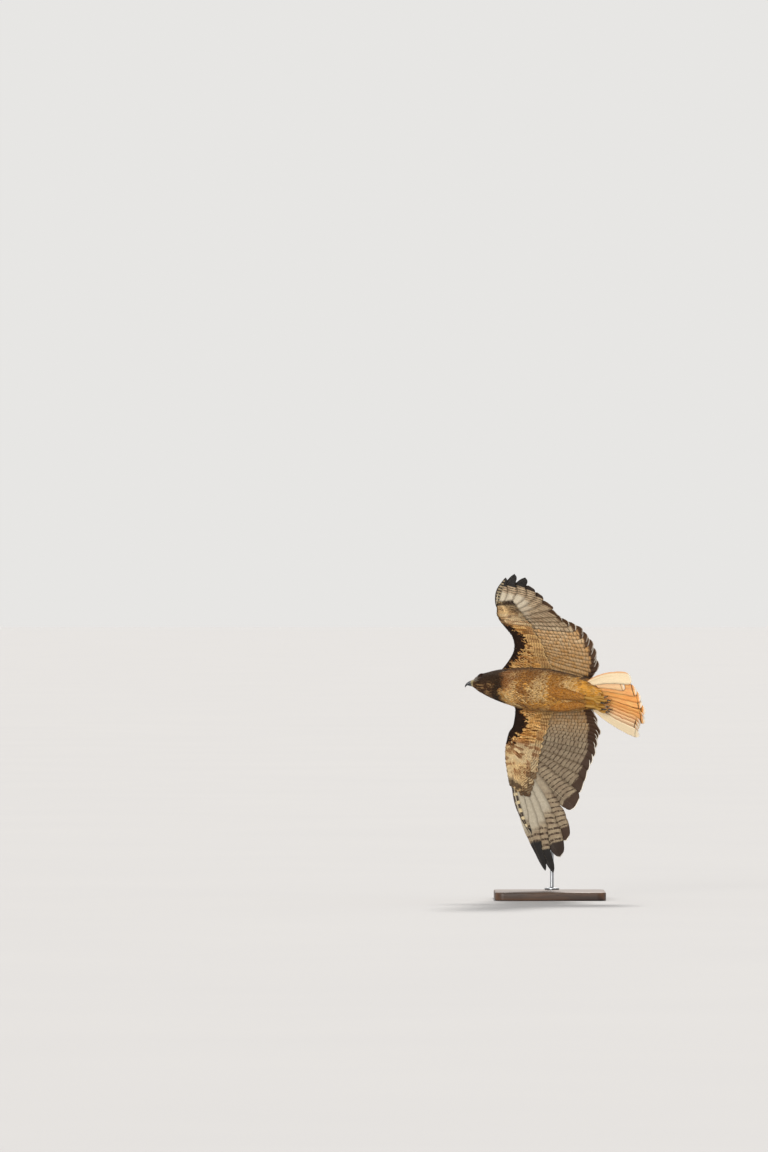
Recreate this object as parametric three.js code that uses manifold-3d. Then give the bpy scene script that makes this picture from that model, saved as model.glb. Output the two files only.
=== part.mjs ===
// A life-size red tailed hawk in banked flight, held by a rod over a flat base.
// Lengths are in millimetres. The bird is built in its own frame, with +X towards the bill,
// +Y to its left wing and +Z to its back, and is then banked over the stand.
import * as THREE from 'three';
import { mergeVertices } from 'three/addons/utils/BufferGeometryUtils.js';
import Module from 'manifold-3d';

const wasm = await Module();
wasm.setup();

// How the bird hangs over the middle of the base
const heading = 160;
const noseUp = 5.2;
const bank = 61.8;
const birdPlace = new THREE.Vector3(-5, -30, 566);

// Gap left between touching pieces, and the gap of a cut
const gap = 0.35;

// The body's outline along its axis: x, half width, height of the back, depth of the belly
const bodyOutline = [
  [-158, 30, 17, 19],
  [-135, 38, 22, 26],
  [-105, 45, 30, 37],
  [-70, 51, 39, 49],
  [-30, 56, 46, 57],
  [10, 59, 50, 62],
  [50, 58, 51, 62],
  [85, 54, 49, 57],
  [110, 49, 46, 51],
  [130, 45, 44, 46],
  [145, 41.5, 42, 41],
  [160, 37, 37.5, 36.5],
  [176, 31, 32, 31],
  [188, 25.5, 27, 26],
  [198, 19.5, 21, 20.5],
  [206, 14.5, 14.5, 15.5],
  [212, 10, 10, 11],
];
const tailJoin = -112;
const neckJoin = 112;
const headJoin = 152;
const faceEnd = 207;

// The head is rolled back towards the level, which the neck takes up
const headRoll = 23;

// Eyes and bill, in the head's own frame
const eyeX = 193;
const eyeOut = 14.6;
const eyeUp = 7.5;
const eyeRadius = 8.4;
const mouthUp = -5.2;

// Wings, laid out flat: s runs outwards from the body's middle plane and x forwards
const shoulderOut = 40;
const shoulderUp = 25;
const armRise = 4.5;
const handDrop = 38.5;
const wristBendStart = 140;
const wristBendEnd = 215;

// Each wing's leading edge, its primaries' tips from the innermost out, and the trailing edge
// of its secondaries, all as s and x
const layouts = {
  left: {
    fingerBow: 5,
    leadingEdge: [
      [30, 144], [47, 130], [75, 111], [97, 101], [121, 99], [144, 106], [163, 119],
      [186, 129], [205, 131], [235, 127], [269, 117], [327, 101],
    ],
    primaryTips: [
      [201, -90], [224, -74], [256, -60], [295, -53], [355, -48],
      [414, -41], [458, -29], [514, -34], [532, -9], [500, 25],
    ],
    trailingEdge: [
      [28, -106], [47, -128], [67, -142], [88, -144], [108, -141], [125, -135], [140, -131],
      [154, -122], [180, -106],
    ],
  },
  right: {
    fingerBow: 9,
    leadingEdge: [
      [30, 130], [60, 118], [76, 114], [92, 113], [121, 119], [147, 127], [163, 138],
      [180, 143], [205, 146], [235, 142], [270, 132], [327, 113],
    ],
    primaryTips: [
      [221, -108], [240, -102], [272, -96], [305, -88], [351, -77],
      [444, -66], [490, -55], [534, -42], [531, -19], [438, 36],
    ],
    trailingEdge: [
      [28, -92], [47, -112], [67, -122], [98, -126], [135, -130], [170, -120], [198, -114],
    ],
  },
};

// Primaries' roots and widths from the innermost out
const firstPrimaryRoot = [194, 104];
const lastPrimaryRoot = [276, 115];
const primaryWidths = [48, 50, 52, 54, 58, 64, 62, 58, 46, 30];

// Secondaries and tertials, from the wrist in to the body
const secondaryCount = 12;
const wristRoot = [181, 98];
const elbowRoot = [104, 28];
const innerRoot = [38, 20];
const secondaryWidth = 46;

// How thick the feathers are, how steeply each one tilts to overlap its neighbour, and how far
// a tier of coverts stands off the flight feathers
const quillThickness = 0.75;
const covertThickness = 0.75;
const featherTilt = 0.09;
const covertsAbove = 4.4;
const armCovertsBelow = 5.6;
const handCovertsBelow = 6.8;

// Tail fan: where it hinges, how it hangs, and each feather's length from left to right
const tailPivot = new THREE.Vector3(-79, 4, 9);
const tailDrop = 17;
const tailTurn = 4;
const tailRoll = -3;
const tailLengths = [217, 178, 219, 222, 226, 229, 230, 228, 220, 212, 214, 217];
const tailSpreadLeft = 27;
const tailSpreadRight = 12.5;
const tailRootLeft = 15;
const tailRootRight = 21;
const tailBow = 11;
const tailArch = 8;
const tailFeatherWidth = 36;
const tailTiltLeft = 0.12;
const tailTiltRight = 0.17;
const rightTailDrop = 2.8;

// The rump past the torso: reach from the hinge, half width, height and depth
const rumpRings = [
  [52, 41, 20, 24],
  [70, 37, 13, 16],
  [86, 33, 7, 9],
  [98, 27, 2.5, 4],
];

// Stand
const baseWidth = 300;
const baseDepth = 320;
const baseThickness = 22;
const baseCorner = 26;
const baseBevel = 3;
const rodRadius = 5;
const rodPlace = new THREE.Vector2(8, 118);
const flangeRadius = 20;
const flangeThickness = 5;

// Looks
const materials = {
  brown: new THREE.MeshStandardMaterial({ color: 0x4a3424, roughness: 0.85, metalness: 0 }),
  buff: new THREE.MeshStandardMaterial({ color: 0xb07c42, roughness: 0.85, metalness: 0 }),
  barred: new THREE.MeshStandardMaterial({ color: 0xa38a66, roughness: 0.8, metalness: 0 }),
  rufous: new THREE.MeshStandardMaterial({ color: 0xd98a45, roughness: 0.75, metalness: 0 }),
  horn: new THREE.MeshStandardMaterial({ color: 0x23262e, roughness: 0.35, metalness: 0 }),
  iris: new THREE.MeshStandardMaterial({ color: 0x3a2010, roughness: 0.1, metalness: 0 }),
  toes: new THREE.MeshStandardMaterial({ color: 0xb99a3c, roughness: 0.6, metalness: 0 }),
  wood: new THREE.MeshStandardMaterial({ color: 0x3b2a1e, roughness: 0.5, metalness: 0 }),
  steel: new THREE.MeshStandardMaterial({ color: 0x8d8f92, roughness: 0.35, metalness: 0.9 }),
};

const radians = THREE.MathUtils.degToRad;
const mix = THREE.MathUtils.lerp;
const ease = THREE.MathUtils.smoothstep;

// The values of a table at a place, on a smooth curve through its rows
function sampled(rows, at) {
  const last = rows.length - 2;
  let i = rows.findIndex((row) => row[0] > at) - 1;
  if (i === -2) i = last;
  i = Math.max(0, Math.min(last, i));
  const span = rows[i + 1][0] - rows[i][0];
  const t = (at - rows[i][0]) / span;
  const slope = (k, column) => {
    const a = rows[Math.max(0, k - 1)];
    const b = rows[Math.min(rows.length - 1, k + 1)];
    return ((b[column] - a[column]) / (b[0] - a[0])) * span;
  };
  return rows[i].slice(1).map((value, index) => {
    const column = index + 1;
    const next = rows[i + 1][column];
    const t2 = t * t;
    const t3 = t2 * t;
    return (
      (2 * t3 - 3 * t2 + 1) * value +
      (t3 - 2 * t2 + t) * slope(i, column) +
      (3 * t2 - 2 * t3) * next +
      (t3 - t2) * slope(i + 1, column)
    );
  });
}

// Numbers evenly spaced from one to another
function spaced(from, to, count) {
  return Array.from({ length: count }, (_, i) => mix(from, to, i / (count - 1)));
}

// Makes a solid of points and triangles, turned to face outwards
function solidFrom(points, triangles) {
  const vertProperties = new Float32Array(points.flatMap((p) => [p.x, p.y, p.z]));
  const build = (indices) =>
    new wasm.Manifold(
      new wasm.Mesh({ numProp: 3, vertProperties, triVerts: new Uint32Array(indices) }),
    );
  const made = build(triangles.flat());
  if (made.volume() > 0) return made;
  return build(triangles.flatMap(([a, b, c]) => [a, c, b]));
}

// Makes a solid of one of three.js's own closed geometries
function solidOf(geometry) {
  const plain = geometry.clone();
  plain.deleteAttribute('normal');
  plain.deleteAttribute('uv');
  const merged = mergeVertices(plain, 1e-4);
  const at = merged.attributes.position;
  const points = [];
  for (let i = 0; i < at.count; i += 1) {
    points.push(new THREE.Vector3().fromBufferAttribute(at, i));
  }
  const triangles = [];
  for (let i = 0; i < merged.index.count; i += 3) {
    const corners = [0, 1, 2].map((k) => merged.index.getX(i + k));
    if (new Set(corners).size === 3) triangles.push(corners);
  }
  return solidFrom(points, triangles);
}

// Skins a row of rings that have the same number of points, and closes both ends
function loft(rings) {
  const sides = rings[0].length;
  const points = rings.flat();
  const triangles = [];
  for (let r = 0; r + 1 < rings.length; r += 1) {
    for (let k = 0; k < sides; k += 1) {
      const a = r * sides + k;
      const b = r * sides + ((k + 1) % sides);
      triangles.push([a, b, b + sides], [a, b + sides, a + sides]);
    }
  }
  const lastRing = (rings.length - 1) * sides;
  for (let k = 1; k + 1 < sides; k += 1) {
    triangles.push([0, k + 1, k], [lastRing, lastRing + k, lastRing + k + 1]);
  }
  return solidFrom(points, triangles);
}

// A round tube through points, with a radius at each of them
function tube(path, radii, sides) {
  const across = new THREE.Vector3();
  const rings = path.map((point, i) => {
    const before = path[Math.max(0, i - 1)];
    const after = path[Math.min(path.length - 1, i + 1)];
    const along = after.clone().sub(before).normalize();
    if (i === 0) {
      across.set(0, 1, 0);
      if (Math.abs(along.y) > 0.9) across.set(1, 0, 0);
    }
    across.addScaledVector(along, -across.dot(along)).normalize();
    const up = along.clone().cross(across);
    return spaced(0, 2 * Math.PI, sides + 1).slice(0, sides).map((angle) =>
      point.clone()
        .addScaledVector(across, radii[i] * Math.cos(angle))
        .addScaledVector(up, radii[i] * Math.sin(angle)),
    );
  });
  return loft(rings);
}

function joined(solids) {
  return solids.reduce((all, one) => all.add(one));
}

// The largest closed body of a solid
function largest(solid) {
  return solid.decompose().reduce((best, one) => (one.volume() > best.volume() ? one : best));
}

function node(name, solid, material) {
  const mesh = solid.getMesh();
  const geometry = new THREE.BufferGeometry()
    .setAttribute('position', new THREE.BufferAttribute(mesh.vertProperties, 3))
    .setIndex(new THREE.BufferAttribute(mesh.triVerts, 1));
  geometry.computeVertexNormals();
  const made = new THREE.Mesh(geometry, material);
  made.name = name;
  return made;
}

// Body, neck and head

function rollAt(x) {
  return radians(headRoll) * ease(x, 118, 178);
}

function rolled(x, y, z, angle) {
  return new THREE.Vector3(
    x,
    y * Math.cos(angle) + z * Math.sin(angle),
    z * Math.cos(angle) - y * Math.sin(angle),
  );
}

// A bump on both sides of the head, fading away from its place
function bump(x, turn, atX, atTurn, wideX, wideTurn) {
  const across = (Math.abs(turn) - atTurn) / wideTurn;
  return Math.exp(-(((x - atX) / wideX) ** 2) - across ** 2);
}

function bodyRing(x, sides, grown = 0) {
  const [width, back, belly] = sampled(bodyOutline, x);
  return spaced(0, 2 * Math.PI, sides + 1).slice(0, sides).map((angle) => {
    const rise = Math.sin(angle);
    const y = (width + grown) * Math.cos(angle);
    const z = ((rise > 0 ? back : belly) + grown) * rise;
    const fromTop = Math.atan2(y, z);
    const brow = 2.6 * bump(x, fromTop, 195, radians(48), 9, radians(16));
    const socket = -2.2 * bump(x, fromTop, eyeX + 1, radians(76), 8, radians(14));
    const swell = 1 + (brow + socket) / Math.hypot(y, z);
    return rolled(x, y * swell, z * swell, rollAt(x));
  });
}

function bodyLength(stations, sides, grown = 0) {
  return loft(stations.map((x) => bodyRing(x, sides, grown)));
}

const bodySides = 20;
const torsoStations = spaced(tailJoin, neckJoin, 14);
const neckStations = spaced(neckJoin + gap, headJoin, 4);

// What the torso and neck take up, with the gap around them
function bodyCutter() {
  const torso = [tailJoin - 30, tailJoin - 2, ...torsoStations, neckJoin + 2];
  const neck = [neckJoin - 2, ...neckStations, headJoin + 2];
  return bodyLength(torso, bodySides, gap).add(bodyLength(neck, bodySides, gap));
}

function headPoint(x, y, z) {
  return rolled(x, y, z, radians(headRoll));
}

function placedOnHead(geometry, x, y, z) {
  geometry.translate(x, y, z);
  geometry.rotateX(-radians(headRoll));
  return solidOf(geometry);
}

function eyelid(side) {
  const ring = new THREE.TorusGeometry(eyeRadius * 0.86, 1.5, 5, 14);
  ring.rotateX(-Math.PI / 2);
  ring.rotateZ(-side * radians(12));
  return placedOnHead(ring, eyeX + 0.8, side * (eyeOut + 5.2), eyeUp);
}

function head() {
  const mouth = new THREE.BoxGeometry(26, 60, 0.7);
  mouth.rotateY(radians(-7));
  const sockets = [-1, 1].map((side) =>
    placedOnHead(new THREE.SphereGeometry(eyeRadius + gap, 12, 8), eyeX, side * eyeOut, eyeUp));
  let made = bodyLength(spaced(headJoin + gap, faceEnd, 10), 24);
  made = made.subtract(placedOnHead(mouth, 207, 0, mouthUp - 0.9));
  made = made.add(eyelid(-1)).add(eyelid(1));
  sockets.forEach((socket) => {
    made = made.subtract(socket);
  });
  return largest(made);
}

function eye(side) {
  const ball = new THREE.SphereGeometry(eyeRadius, 12, 8);
  return placedOnHead(ball, eyeX, side * eyeOut, eyeUp);
}

// A bill half: rows of x, middle height, half width and half height, with the ring leant to follow
function billHalf(rows, sides) {
  const rings = rows.map(([x, z, wide, high], i) => {
    const before = rows[Math.max(0, i - 1)];
    const after = rows[Math.min(rows.length - 1, i + 1)];
    const lean = Math.atan2(after[1] - before[1], after[0] - before[0]) * (i > 0 ? 1 : 0);
    return spaced(0, 2 * Math.PI, sides + 1).slice(0, sides).map((angle) => {
      const up = high * Math.sin(angle);
      return headPoint(x - up * Math.sin(lean), wide * Math.cos(angle), z + up * Math.cos(lean));
    });
  });
  return loft(rings);
}

function upperBill() {
  const rows = [
    [faceEnd + gap, 2.4, 10.4, 7.6],
    [212, 2.2, 8.6, 7.2],
    [217, 1.6, 7, 6.6],
    [222, 0.2, 5.8, 5.8],
    [227, -2.2, 4.7, 5],
    [231, -6, 3.5, 3.8],
    [233, -10.5, 2.4, 2.8],
    [233.4, -15, 1.4, 1.7],
    [232.6, -19, 0.4, 0.5],
  ];
  let made = billHalf(rows, 14);
  [-1, 1].forEach((side) => {
    const nostril = new THREE.SphereGeometry(1.5, 8, 6);
    nostril.scale(1.5, 1.2, 1);
    made = made.subtract(placedOnHead(nostril, 213.4, side * 8.2, 4.2));
  });
  return made;
}

function lowerBill() {
  return billHalf([
    [faceEnd + gap, -9.4, 8.6, 3.4],
    [213, -9.4, 7, 3.2],
    [219, -9.8, 5.2, 2.7],
    [225, -10.6, 3, 1.7],
    [228, -11.4, 1.1, 0.7],
  ], 12);
}

// Wings

// The wing seen from the front: how far out and up it is at s, and its slope
function wingCurve(s) {
  const rise = radians(armRise);
  const drop = -radians(handDrop);
  const bendLength = wristBendEnd - wristBendStart;
  const turn = (drop - rise) / bendLength;
  const straight = Math.min(s, wristBendStart) - shoulderOut;
  let out = shoulderOut + straight * Math.cos(rise);
  let up = shoulderUp + straight * Math.sin(rise);
  const bent = Math.max(0, Math.min(s, wristBendEnd) - wristBendStart);
  const slope = rise + turn * bent;
  out += (Math.sin(slope) - Math.sin(rise)) / turn;
  up -= (Math.cos(slope) - Math.cos(rise)) / turn;
  const beyond = Math.max(0, s - wristBendEnd);
  return {
    out: out + beyond * Math.cos(slope),
    up: up + beyond * Math.sin(slope),
    slope,
  };
}

// A place in the flat layout, lifted by h, on the bent wing
function onWing(side, s, x, h) {
  const { out, up, slope } = wingCurve(s);
  return new THREE.Vector3(
    x,
    side * (out - h * Math.sin(slope)),
    up + h * Math.cos(slope),
  );
}

function layout(side) {
  return side > 0 ? layouts.left : layouts.right;
}

// Half the width of a feather along its length, as a share of its full half width
const roundTip = [[0, 0.25], [0.14, 0.65], [0.4, 1], [0.82, 1], [0.94, 0.75], [1, 0.22]];
const fingerTip = [[0, 0.25], [0.14, 0.65], [0.4, 1], [0.68, 0.97], [0.84, 0.58], [0.95, 0.4], [1, 0.08]];
const broadTip = [[0, 0.25], [0.14, 0.65], [0.4, 1], [0.72, 1], [0.86, 0.78], [0.95, 0.5], [1, 0.1]];
const covertTip = [[0, 0.5], [0.3, 0.95], [0.75, 1], [1, 0.3]];

// A flat, tapered vane. place(s, x, h) sets it in space. The front web lies towards the back of
// the bird and the rear web towards its belly, so that neighbours overlap like tiles.
function vane(place, feather) {
  const { root, tip, width, shape, bow = 0, frontShare = 0.5, lift = 0 } = feather;
  const { thickness = quillThickness, tilt = featherTilt } = feather;
  const along = new THREE.Vector2(tip[0] - root[0], tip[1] - root[1]);
  const length = along.length();
  along.divideScalar(length);
  const front = new THREE.Vector2(-along.y, along.x);
  const rings = shape.map(([t, share]) => {
    const arch = bow * 4 * t * (1 - t);
    const half = (thickness / 2) * mix(1, 0.7, t);
    return [[1, 1], [-1, 1], [-1, -1], [1, -1]].map(([web, face]) => {
      const reach = web * share * width * (web > 0 ? frontShare : 1 - frontShare) + arch;
      return place(
        root[0] + along.x * length * t + front.x * reach,
        root[1] + along.y * length * t + front.y * reach,
        lift + tilt * (reach - arch) + face * half,
      );
    });
  });
  return loft(rings);
}

// A length of the wing's fleshy front part, with a round nose and a thin back
function wingCore(side, from, to, rings, depths) {
  const corners = 12;
  return loft(spaced(from, to, rings).map((s) => {
    const [front] = sampled(layout(side).leadingEdge, s);
    const [depth, above, below] = sampled(depths, s);
    return spaced(0, 2 * Math.PI, corners + 1).slice(0, corners).map((angle) => {
      const nose = (Math.cos(angle) + 1) / 2;
      const thick = Math.sin(angle) * (0.35 + 0.85 * nose);
      return onWing(side, s, front - depth * (1 - nose), thick * (thick > 0 ? above : below));
    });
  }));
}

// Depth behind the leading edge, and height above and below the wing's own surface, along s
const armDepths = [[30, 130, 12, 13], [80, 104, 11, 11], [130, 78, 9, 9], [175, 60, 8.5, 8.5], [200, 56, 8, 8.5]];
const handDepths = [[180, 56, 8, 8.5], [215, 50, 7, 8], [255, 34, 5, 6], [300, 20, 3, 3]];

// The plane between the innermost primary and the outermost secondary
function wristPlane(side) {
  const front = onWing(side, 187, 140, 0);
  const rear = onWing(side, side > 0 ? 192 : 210, -104, 0);
  const lifted = onWing(side, 197, 30, 30).sub(onWing(side, 197, 30, 0));
  const normal = rear.sub(front).cross(lifted).normalize();
  if (normal.y * side < 0) normal.negate();
  return { normal, offset: normal.dot(front) };
}

function between(a, b, t) {
  return [mix(a[0], b[0], t), mix(a[1], b[1], t)];
}

function primaryRoot(t) {
  return between(firstPrimaryRoot, lastPrimaryRoot, t);
}

function primaryTip(side, t) {
  const tips = layout(side).primaryTips;
  const i = Math.min(8, Math.floor(t * 9));
  return between(tips[i], tips[i + 1], t * 9 - i);
}

function secondaryRoot(t) {
  const elbow = 0.7;
  if (t < elbow) return between(wristRoot, elbowRoot, t / elbow);
  return between(elbowRoot, innerRoot, (t - elbow) / (1 - elbow));
}

function secondaryTip(side, t) {
  const rows = layout(side).trailingEdge;
  const s = mix(rows.at(-1)[0] + (side > 0 ? 6 : 1), 28, t);
  return [s, sampled(rows, s)[0]];
}

const primaryShapes = [...Array(5).fill(roundTip), broadTip, broadTip, ...Array(3).fill(fingerTip)];

function primaries(side) {
  return layout(side).primaryTips.map((tip, i) => ({
    root: primaryRoot(i / 9),
    tip,
    width: primaryWidths[i],
    shape: primaryShapes[i],
    bow: layout(side).fingerBow * ease(i, 3, 8) + 2,
    frontShare: mix(0.4, 0.24, i / 9),
  }));
}

function secondaries(side) {
  return spaced(0, 1, secondaryCount).map((t) => ({
    root: secondaryRoot(t),
    tip: secondaryTip(side, t),
    width: secondaryWidth,
    shape: roundTip,
    bow: 2,
    frontShare: 0.36,
  }));
}

// A tier of coverts over the quills: each reaches a share of the way along the quill under it
function tier(rootAt, tipAt, count, reach, width, lift) {
  return spaced(0.03, 0.97, count).map((t) => ({
    root: between(rootAt(t), tipAt(t), -0.05),
    tip: between(rootAt(t), tipAt(t), reach),
    width,
    shape: covertTip,
    thickness: covertThickness,
    lift,
    frontShare: 0.45,
  }));
}

function alula(side) {
  return [0, 1].map((i) => {
    const end = 262 - 16 * i;
    return {
      root: [200, sampled(layout(side).leadingEdge, 200)[0] - 17 - 4 * i],
      tip: [end, sampled(layout(side).leadingEdge, end)[0] - 14 - 8 * i],
      width: 14,
      shape: covertTip,
      thickness: covertThickness,
      lift: 6.8 + 1.4 * i,
      tilt: 0.02,
      frontShare: 0.5,
    };
  });
}

function wing(side, bodyCutter) {
  const place = (s, x, h) => onWing(side, s, x, h);
  const vanes = (list) => joined(list.map((feather) => vane(place, feather)));
  const arm = joined([
    wingCore(side, 30, 204, 12, armDepths),
    vanes(secondaries(side)),
    vanes(tier(secondaryRoot, (t) => secondaryTip(side, t), 6, 0.5, 40, covertsAbove)),
    vanes(tier(secondaryRoot, (t) => secondaryTip(side, t), 7, 0.45, 34, -armCovertsBelow)),
  ]);
  const hand = joined([
    wingCore(side, 178, 300, 8, handDepths),
    vanes(primaries(side)),
    vanes(tier(primaryRoot, (t) => primaryTip(side, t), 6, 0.36, 30, covertsAbove)),
    vanes(tier(primaryRoot, (t) => primaryTip(side, t), 7, 0.32, 27, -handCovertsBelow)),
    vanes(alula(side)),
  ]);
  const { normal, offset } = wristPlane(side);
  const outward = [normal.x, normal.y, normal.z];
  const inward = outward.map((value) => -value);
  return {
    arm: largest(arm.trimByPlane(inward, gap / 2 - offset).subtract(bodyCutter)),
    hand: largest(hand.trimByPlane(outward, offset + gap / 2)),
  };
}

// Tail

const tailPlace = new THREE.Matrix4()
  .makeRotationFromEuler(new THREE.Euler(radians(tailRoll), -radians(tailDrop), radians(tailTurn), 'YXZ'))
  .setPosition(tailPivot);

// A place on the tail: back from the hinge, out to the left, and up
function onTail(back, left, up) {
  return new THREE.Vector3(-back, left, up).applyMatrix4(tailPlace);
}

// How far a fan place leans outwards: 1 is the left edge and -1 the right
function fanRoot(t) {
  return (t > 0 ? tailRootLeft : tailRootRight) * t;
}

function fanTurn(t) {
  return radians(t > 0 ? tailSpreadLeft * t : tailSpreadRight * t);
}

// A feather of the fan, from its root to a length along it. Outer feathers lie under inner ones.
function fanFeather(t, from, length, feather) {
  const turn = fanTurn(t);
  const way = [Math.cos(turn), Math.sin(turn)];
  const place = (back, left, up) => onTail(back, left, up - tailArch * t * t * (back / 217));
  return vane(place, {
    root: [from * way[0], fanRoot(t) + from * way[1]],
    tip: [length * way[0], fanRoot(t) + length * way[1]],
    width: tailFeatherWidth,
    shape: roundTip,
    bow: tailBow * t,
    frontShare: mix(0.5, 0.35, Math.max(0, t)) + 0.15 * Math.max(0, -t),
    tilt: t > 0 ? tailTiltLeft : -tailTiltRight,
    ...feather,
    lift: (feather.lift ?? 0) - (t > 0 ? 0 : rightTailDrop),
  });
}

function tail() {
  const sides = 20;
  const end = bodyRing(tailJoin - gap, sides);
  const rings = rumpRings.map(([reach, wide, above, below]) =>
    spaced(0, 2 * Math.PI, sides + 1).slice(0, sides).map((angle) => {
      const rise = Math.sin(angle);
      return onTail(reach, wide * Math.cos(angle), rise * (rise > 0 ? above : below));
    }));
  const feathers = tailLengths.map((length, i) => fanFeather(1 - (2 * i) / 11, 40, length, {}));
  const covert = { width: 27, shape: covertTip, thickness: covertThickness };
  const above = spaced(0.8, -0.8, 6).map((t) =>
    fanFeather(t, 34, mix(112, 100, t * t), { ...covert, lift: 5.6 }));
  const below = spaced(0.85, -0.85, 6).map((t) =>
    fanFeather(t, 30, mix(118, 104, t * t), { ...covert, lift: -6.4 }));
  const whole = joined([loft([end, ...rings]), ...feathers, ...above, ...below]);
  return largest(whole.trimByPlane([-1, 0, 0], gap - tailJoin));
}

// Legs and feet, tucked back under the tail

function thigh(side, cutter) {
  const path = [[-8, 22, -36], [-40, 20, -42], [-72, 17, -42], [-98, 13, -41], [-108, 13, -41]];
  const made = tube(path.map(([x, y, z]) => new THREE.Vector3(x, side * y, z)), [13, 17, 15, 10, 6.5], 12);
  return largest(made.subtract(cutter));
}

function curved(points, count) {
  return new THREE.CatmullRomCurve3(points.map(([x, y, z]) => new THREE.Vector3(x, y, z))).getPoints(count);
}

function toe(points, thick) {
  const path = curved(points, 5);
  const radii = path.map((_, i) => thick * mix(1, 0.72, i / 5) * (i % 2 ? 1.06 : 0.94));
  return tube(path, radii, 6);
}

function claw(points, thick) {
  const path = curved(points, 5);
  return tube(path, path.map((_, i) => thick * (1 - (i / 5) ** 1.4) + 0.25), 5);
}

// Each toe's knuckles and then its claw's points, as x, y out from the leg's middle, and z
const toePaths = [
  { toe: [[-152, 0, -43], [-165, -5, -47], [-175, -6, -50], [-180, -6, -46]], claw: [[-179, -6, -47], [-188, -6, -46], [-193, -6, -40]] },
  { toe: [[-152, 2, -43], [-168, 2, -48], [-180, 2, -51], [-187, 2, -46]], claw: [[-186, 2, -47], [-195, 2, -46], [-200, 2, -39]] },
  { toe: [[-152, 4, -43], [-164, 9, -46], [-174, 11, -49], [-179, 11, -45]], claw: [[-178, 11, -46], [-186, 11.5, -45], [-190, 11.5, -40]] },
  { toe: [[-150, 0, -43], [-158, -2, -52], [-165, -2, -56], [-171, -2, -55]], claw: [[-170, -2, -55.5], [-181, -2, -56], [-188, -2, -50]] },
];
const footOut = 12;

function foot(side) {
  const shift = (points) => points.map(([x, y, z]) => [x, side * (footOut + y), z]);
  const shank = tube(shift([[-108.4, 1, -41], [-118, 1, -41], [-132, 0.5, -42.5], [-152, 0, -43]])
    .map(([x, y, z]) => new THREE.Vector3(x, y, z)), [4.2, 4, 4, 5], 7);
  const toes = toePaths.map((paths, i) =>
    toe(shift(paths.toe), i === 3 ? 3.8 : 3.5).add(claw(shift(paths.claw), 2.4)));
  return joined([shank, ...toes]);
}

// Stand

function standBase() {
  const wide = baseWidth / 2 - baseBevel - baseCorner;
  const deep = baseDepth / 2 - baseBevel - baseCorner;
  const outline = new THREE.Shape();
  outline.absarc(wide, deep, baseCorner, 0, Math.PI / 2);
  outline.absarc(-wide, deep, baseCorner, Math.PI / 2, Math.PI);
  outline.absarc(-wide, -deep, baseCorner, Math.PI, 1.5 * Math.PI);
  outline.absarc(wide, -deep, baseCorner, 1.5 * Math.PI, 2 * Math.PI);
  const plate = new THREE.ExtrudeGeometry(outline, {
    depth: baseThickness - 2 * baseBevel,
    bevelThickness: baseBevel,
    bevelSize: baseBevel,
    bevelSegments: 1,
    curveSegments: 6,
  });
  plate.translate(0, 0, baseBevel);
  return solidOf(plate);
}

function standRod(cutter) {
  const bottom = new THREE.Vector3(rodPlace.x, rodPlace.y, baseThickness + gap);
  const back = new THREE.Vector3(6, 0, 44).applyMatrix4(bird.matrixWorld);
  const out = new THREE.Vector3(6, 0, 89).applyMatrix4(bird.matrixWorld);
  const bend = new THREE.CubicBezierCurve3(
    new THREE.Vector3(rodPlace.x, rodPlace.y, out.z - 70),
    new THREE.Vector3(rodPlace.x, rodPlace.y, out.z + 30),
    out,
    back,
  );
  const path = [bottom, ...bend.getPoints(12)];
  const rod = tube(path, path.map(() => rodRadius), 14);
  const flange = new THREE.CylinderGeometry(flangeRadius, flangeRadius, flangeThickness, 28);
  flange.rotateX(Math.PI / 2);
  flange.translate(bottom.x, bottom.y, bottom.z + flangeThickness / 2);
  return largest(rod.add(solidOf(flange)).subtract(cutter.transform(bird.matrixWorld.toArray())));
}

const bird = new THREE.Group();
bird.rotation.set(radians(bank), -radians(noseUp), radians(heading), 'ZYX');
bird.position.copy(birdPlace);
bird.updateMatrixWorld(true);

const cutter = bodyCutter();
bird.add(node('torso', bodyLength(torsoStations, bodySides), materials.buff));
bird.add(node('neck', bodyLength(neckStations, bodySides), materials.brown));
bird.add(node('head', head(), materials.brown));
bird.add(node('bill_upper', upperBill(), materials.horn));
bird.add(node('bill_lower', lowerBill(), materials.horn));
bird.add(node('tail', tail(), materials.rufous));
[['left', 1], ['right', -1]].forEach(([word, side]) => {
  const { arm, hand } = wing(side, cutter);
  bird.add(node(`wing_arm_${word}`, arm, materials.barred));
  bird.add(node(`wing_hand_${word}`, hand, materials.barred));
  bird.add(node(`eye_${word}`, eye(side), materials.iris));
  bird.add(node(`thigh_${word}`, thigh(side, cutter), materials.buff));
  bird.add(node(`foot_${word}`, foot(side), materials.toes));
});

const stand = new THREE.Group();
stand.add(node('stand_base', standBase(), materials.wood));
stand.add(node('stand_rod', standRod(cutter), materials.steel));

const hawk = new THREE.Group();
hawk.add(bird, stand);

export default hawk;
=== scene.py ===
import math

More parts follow.
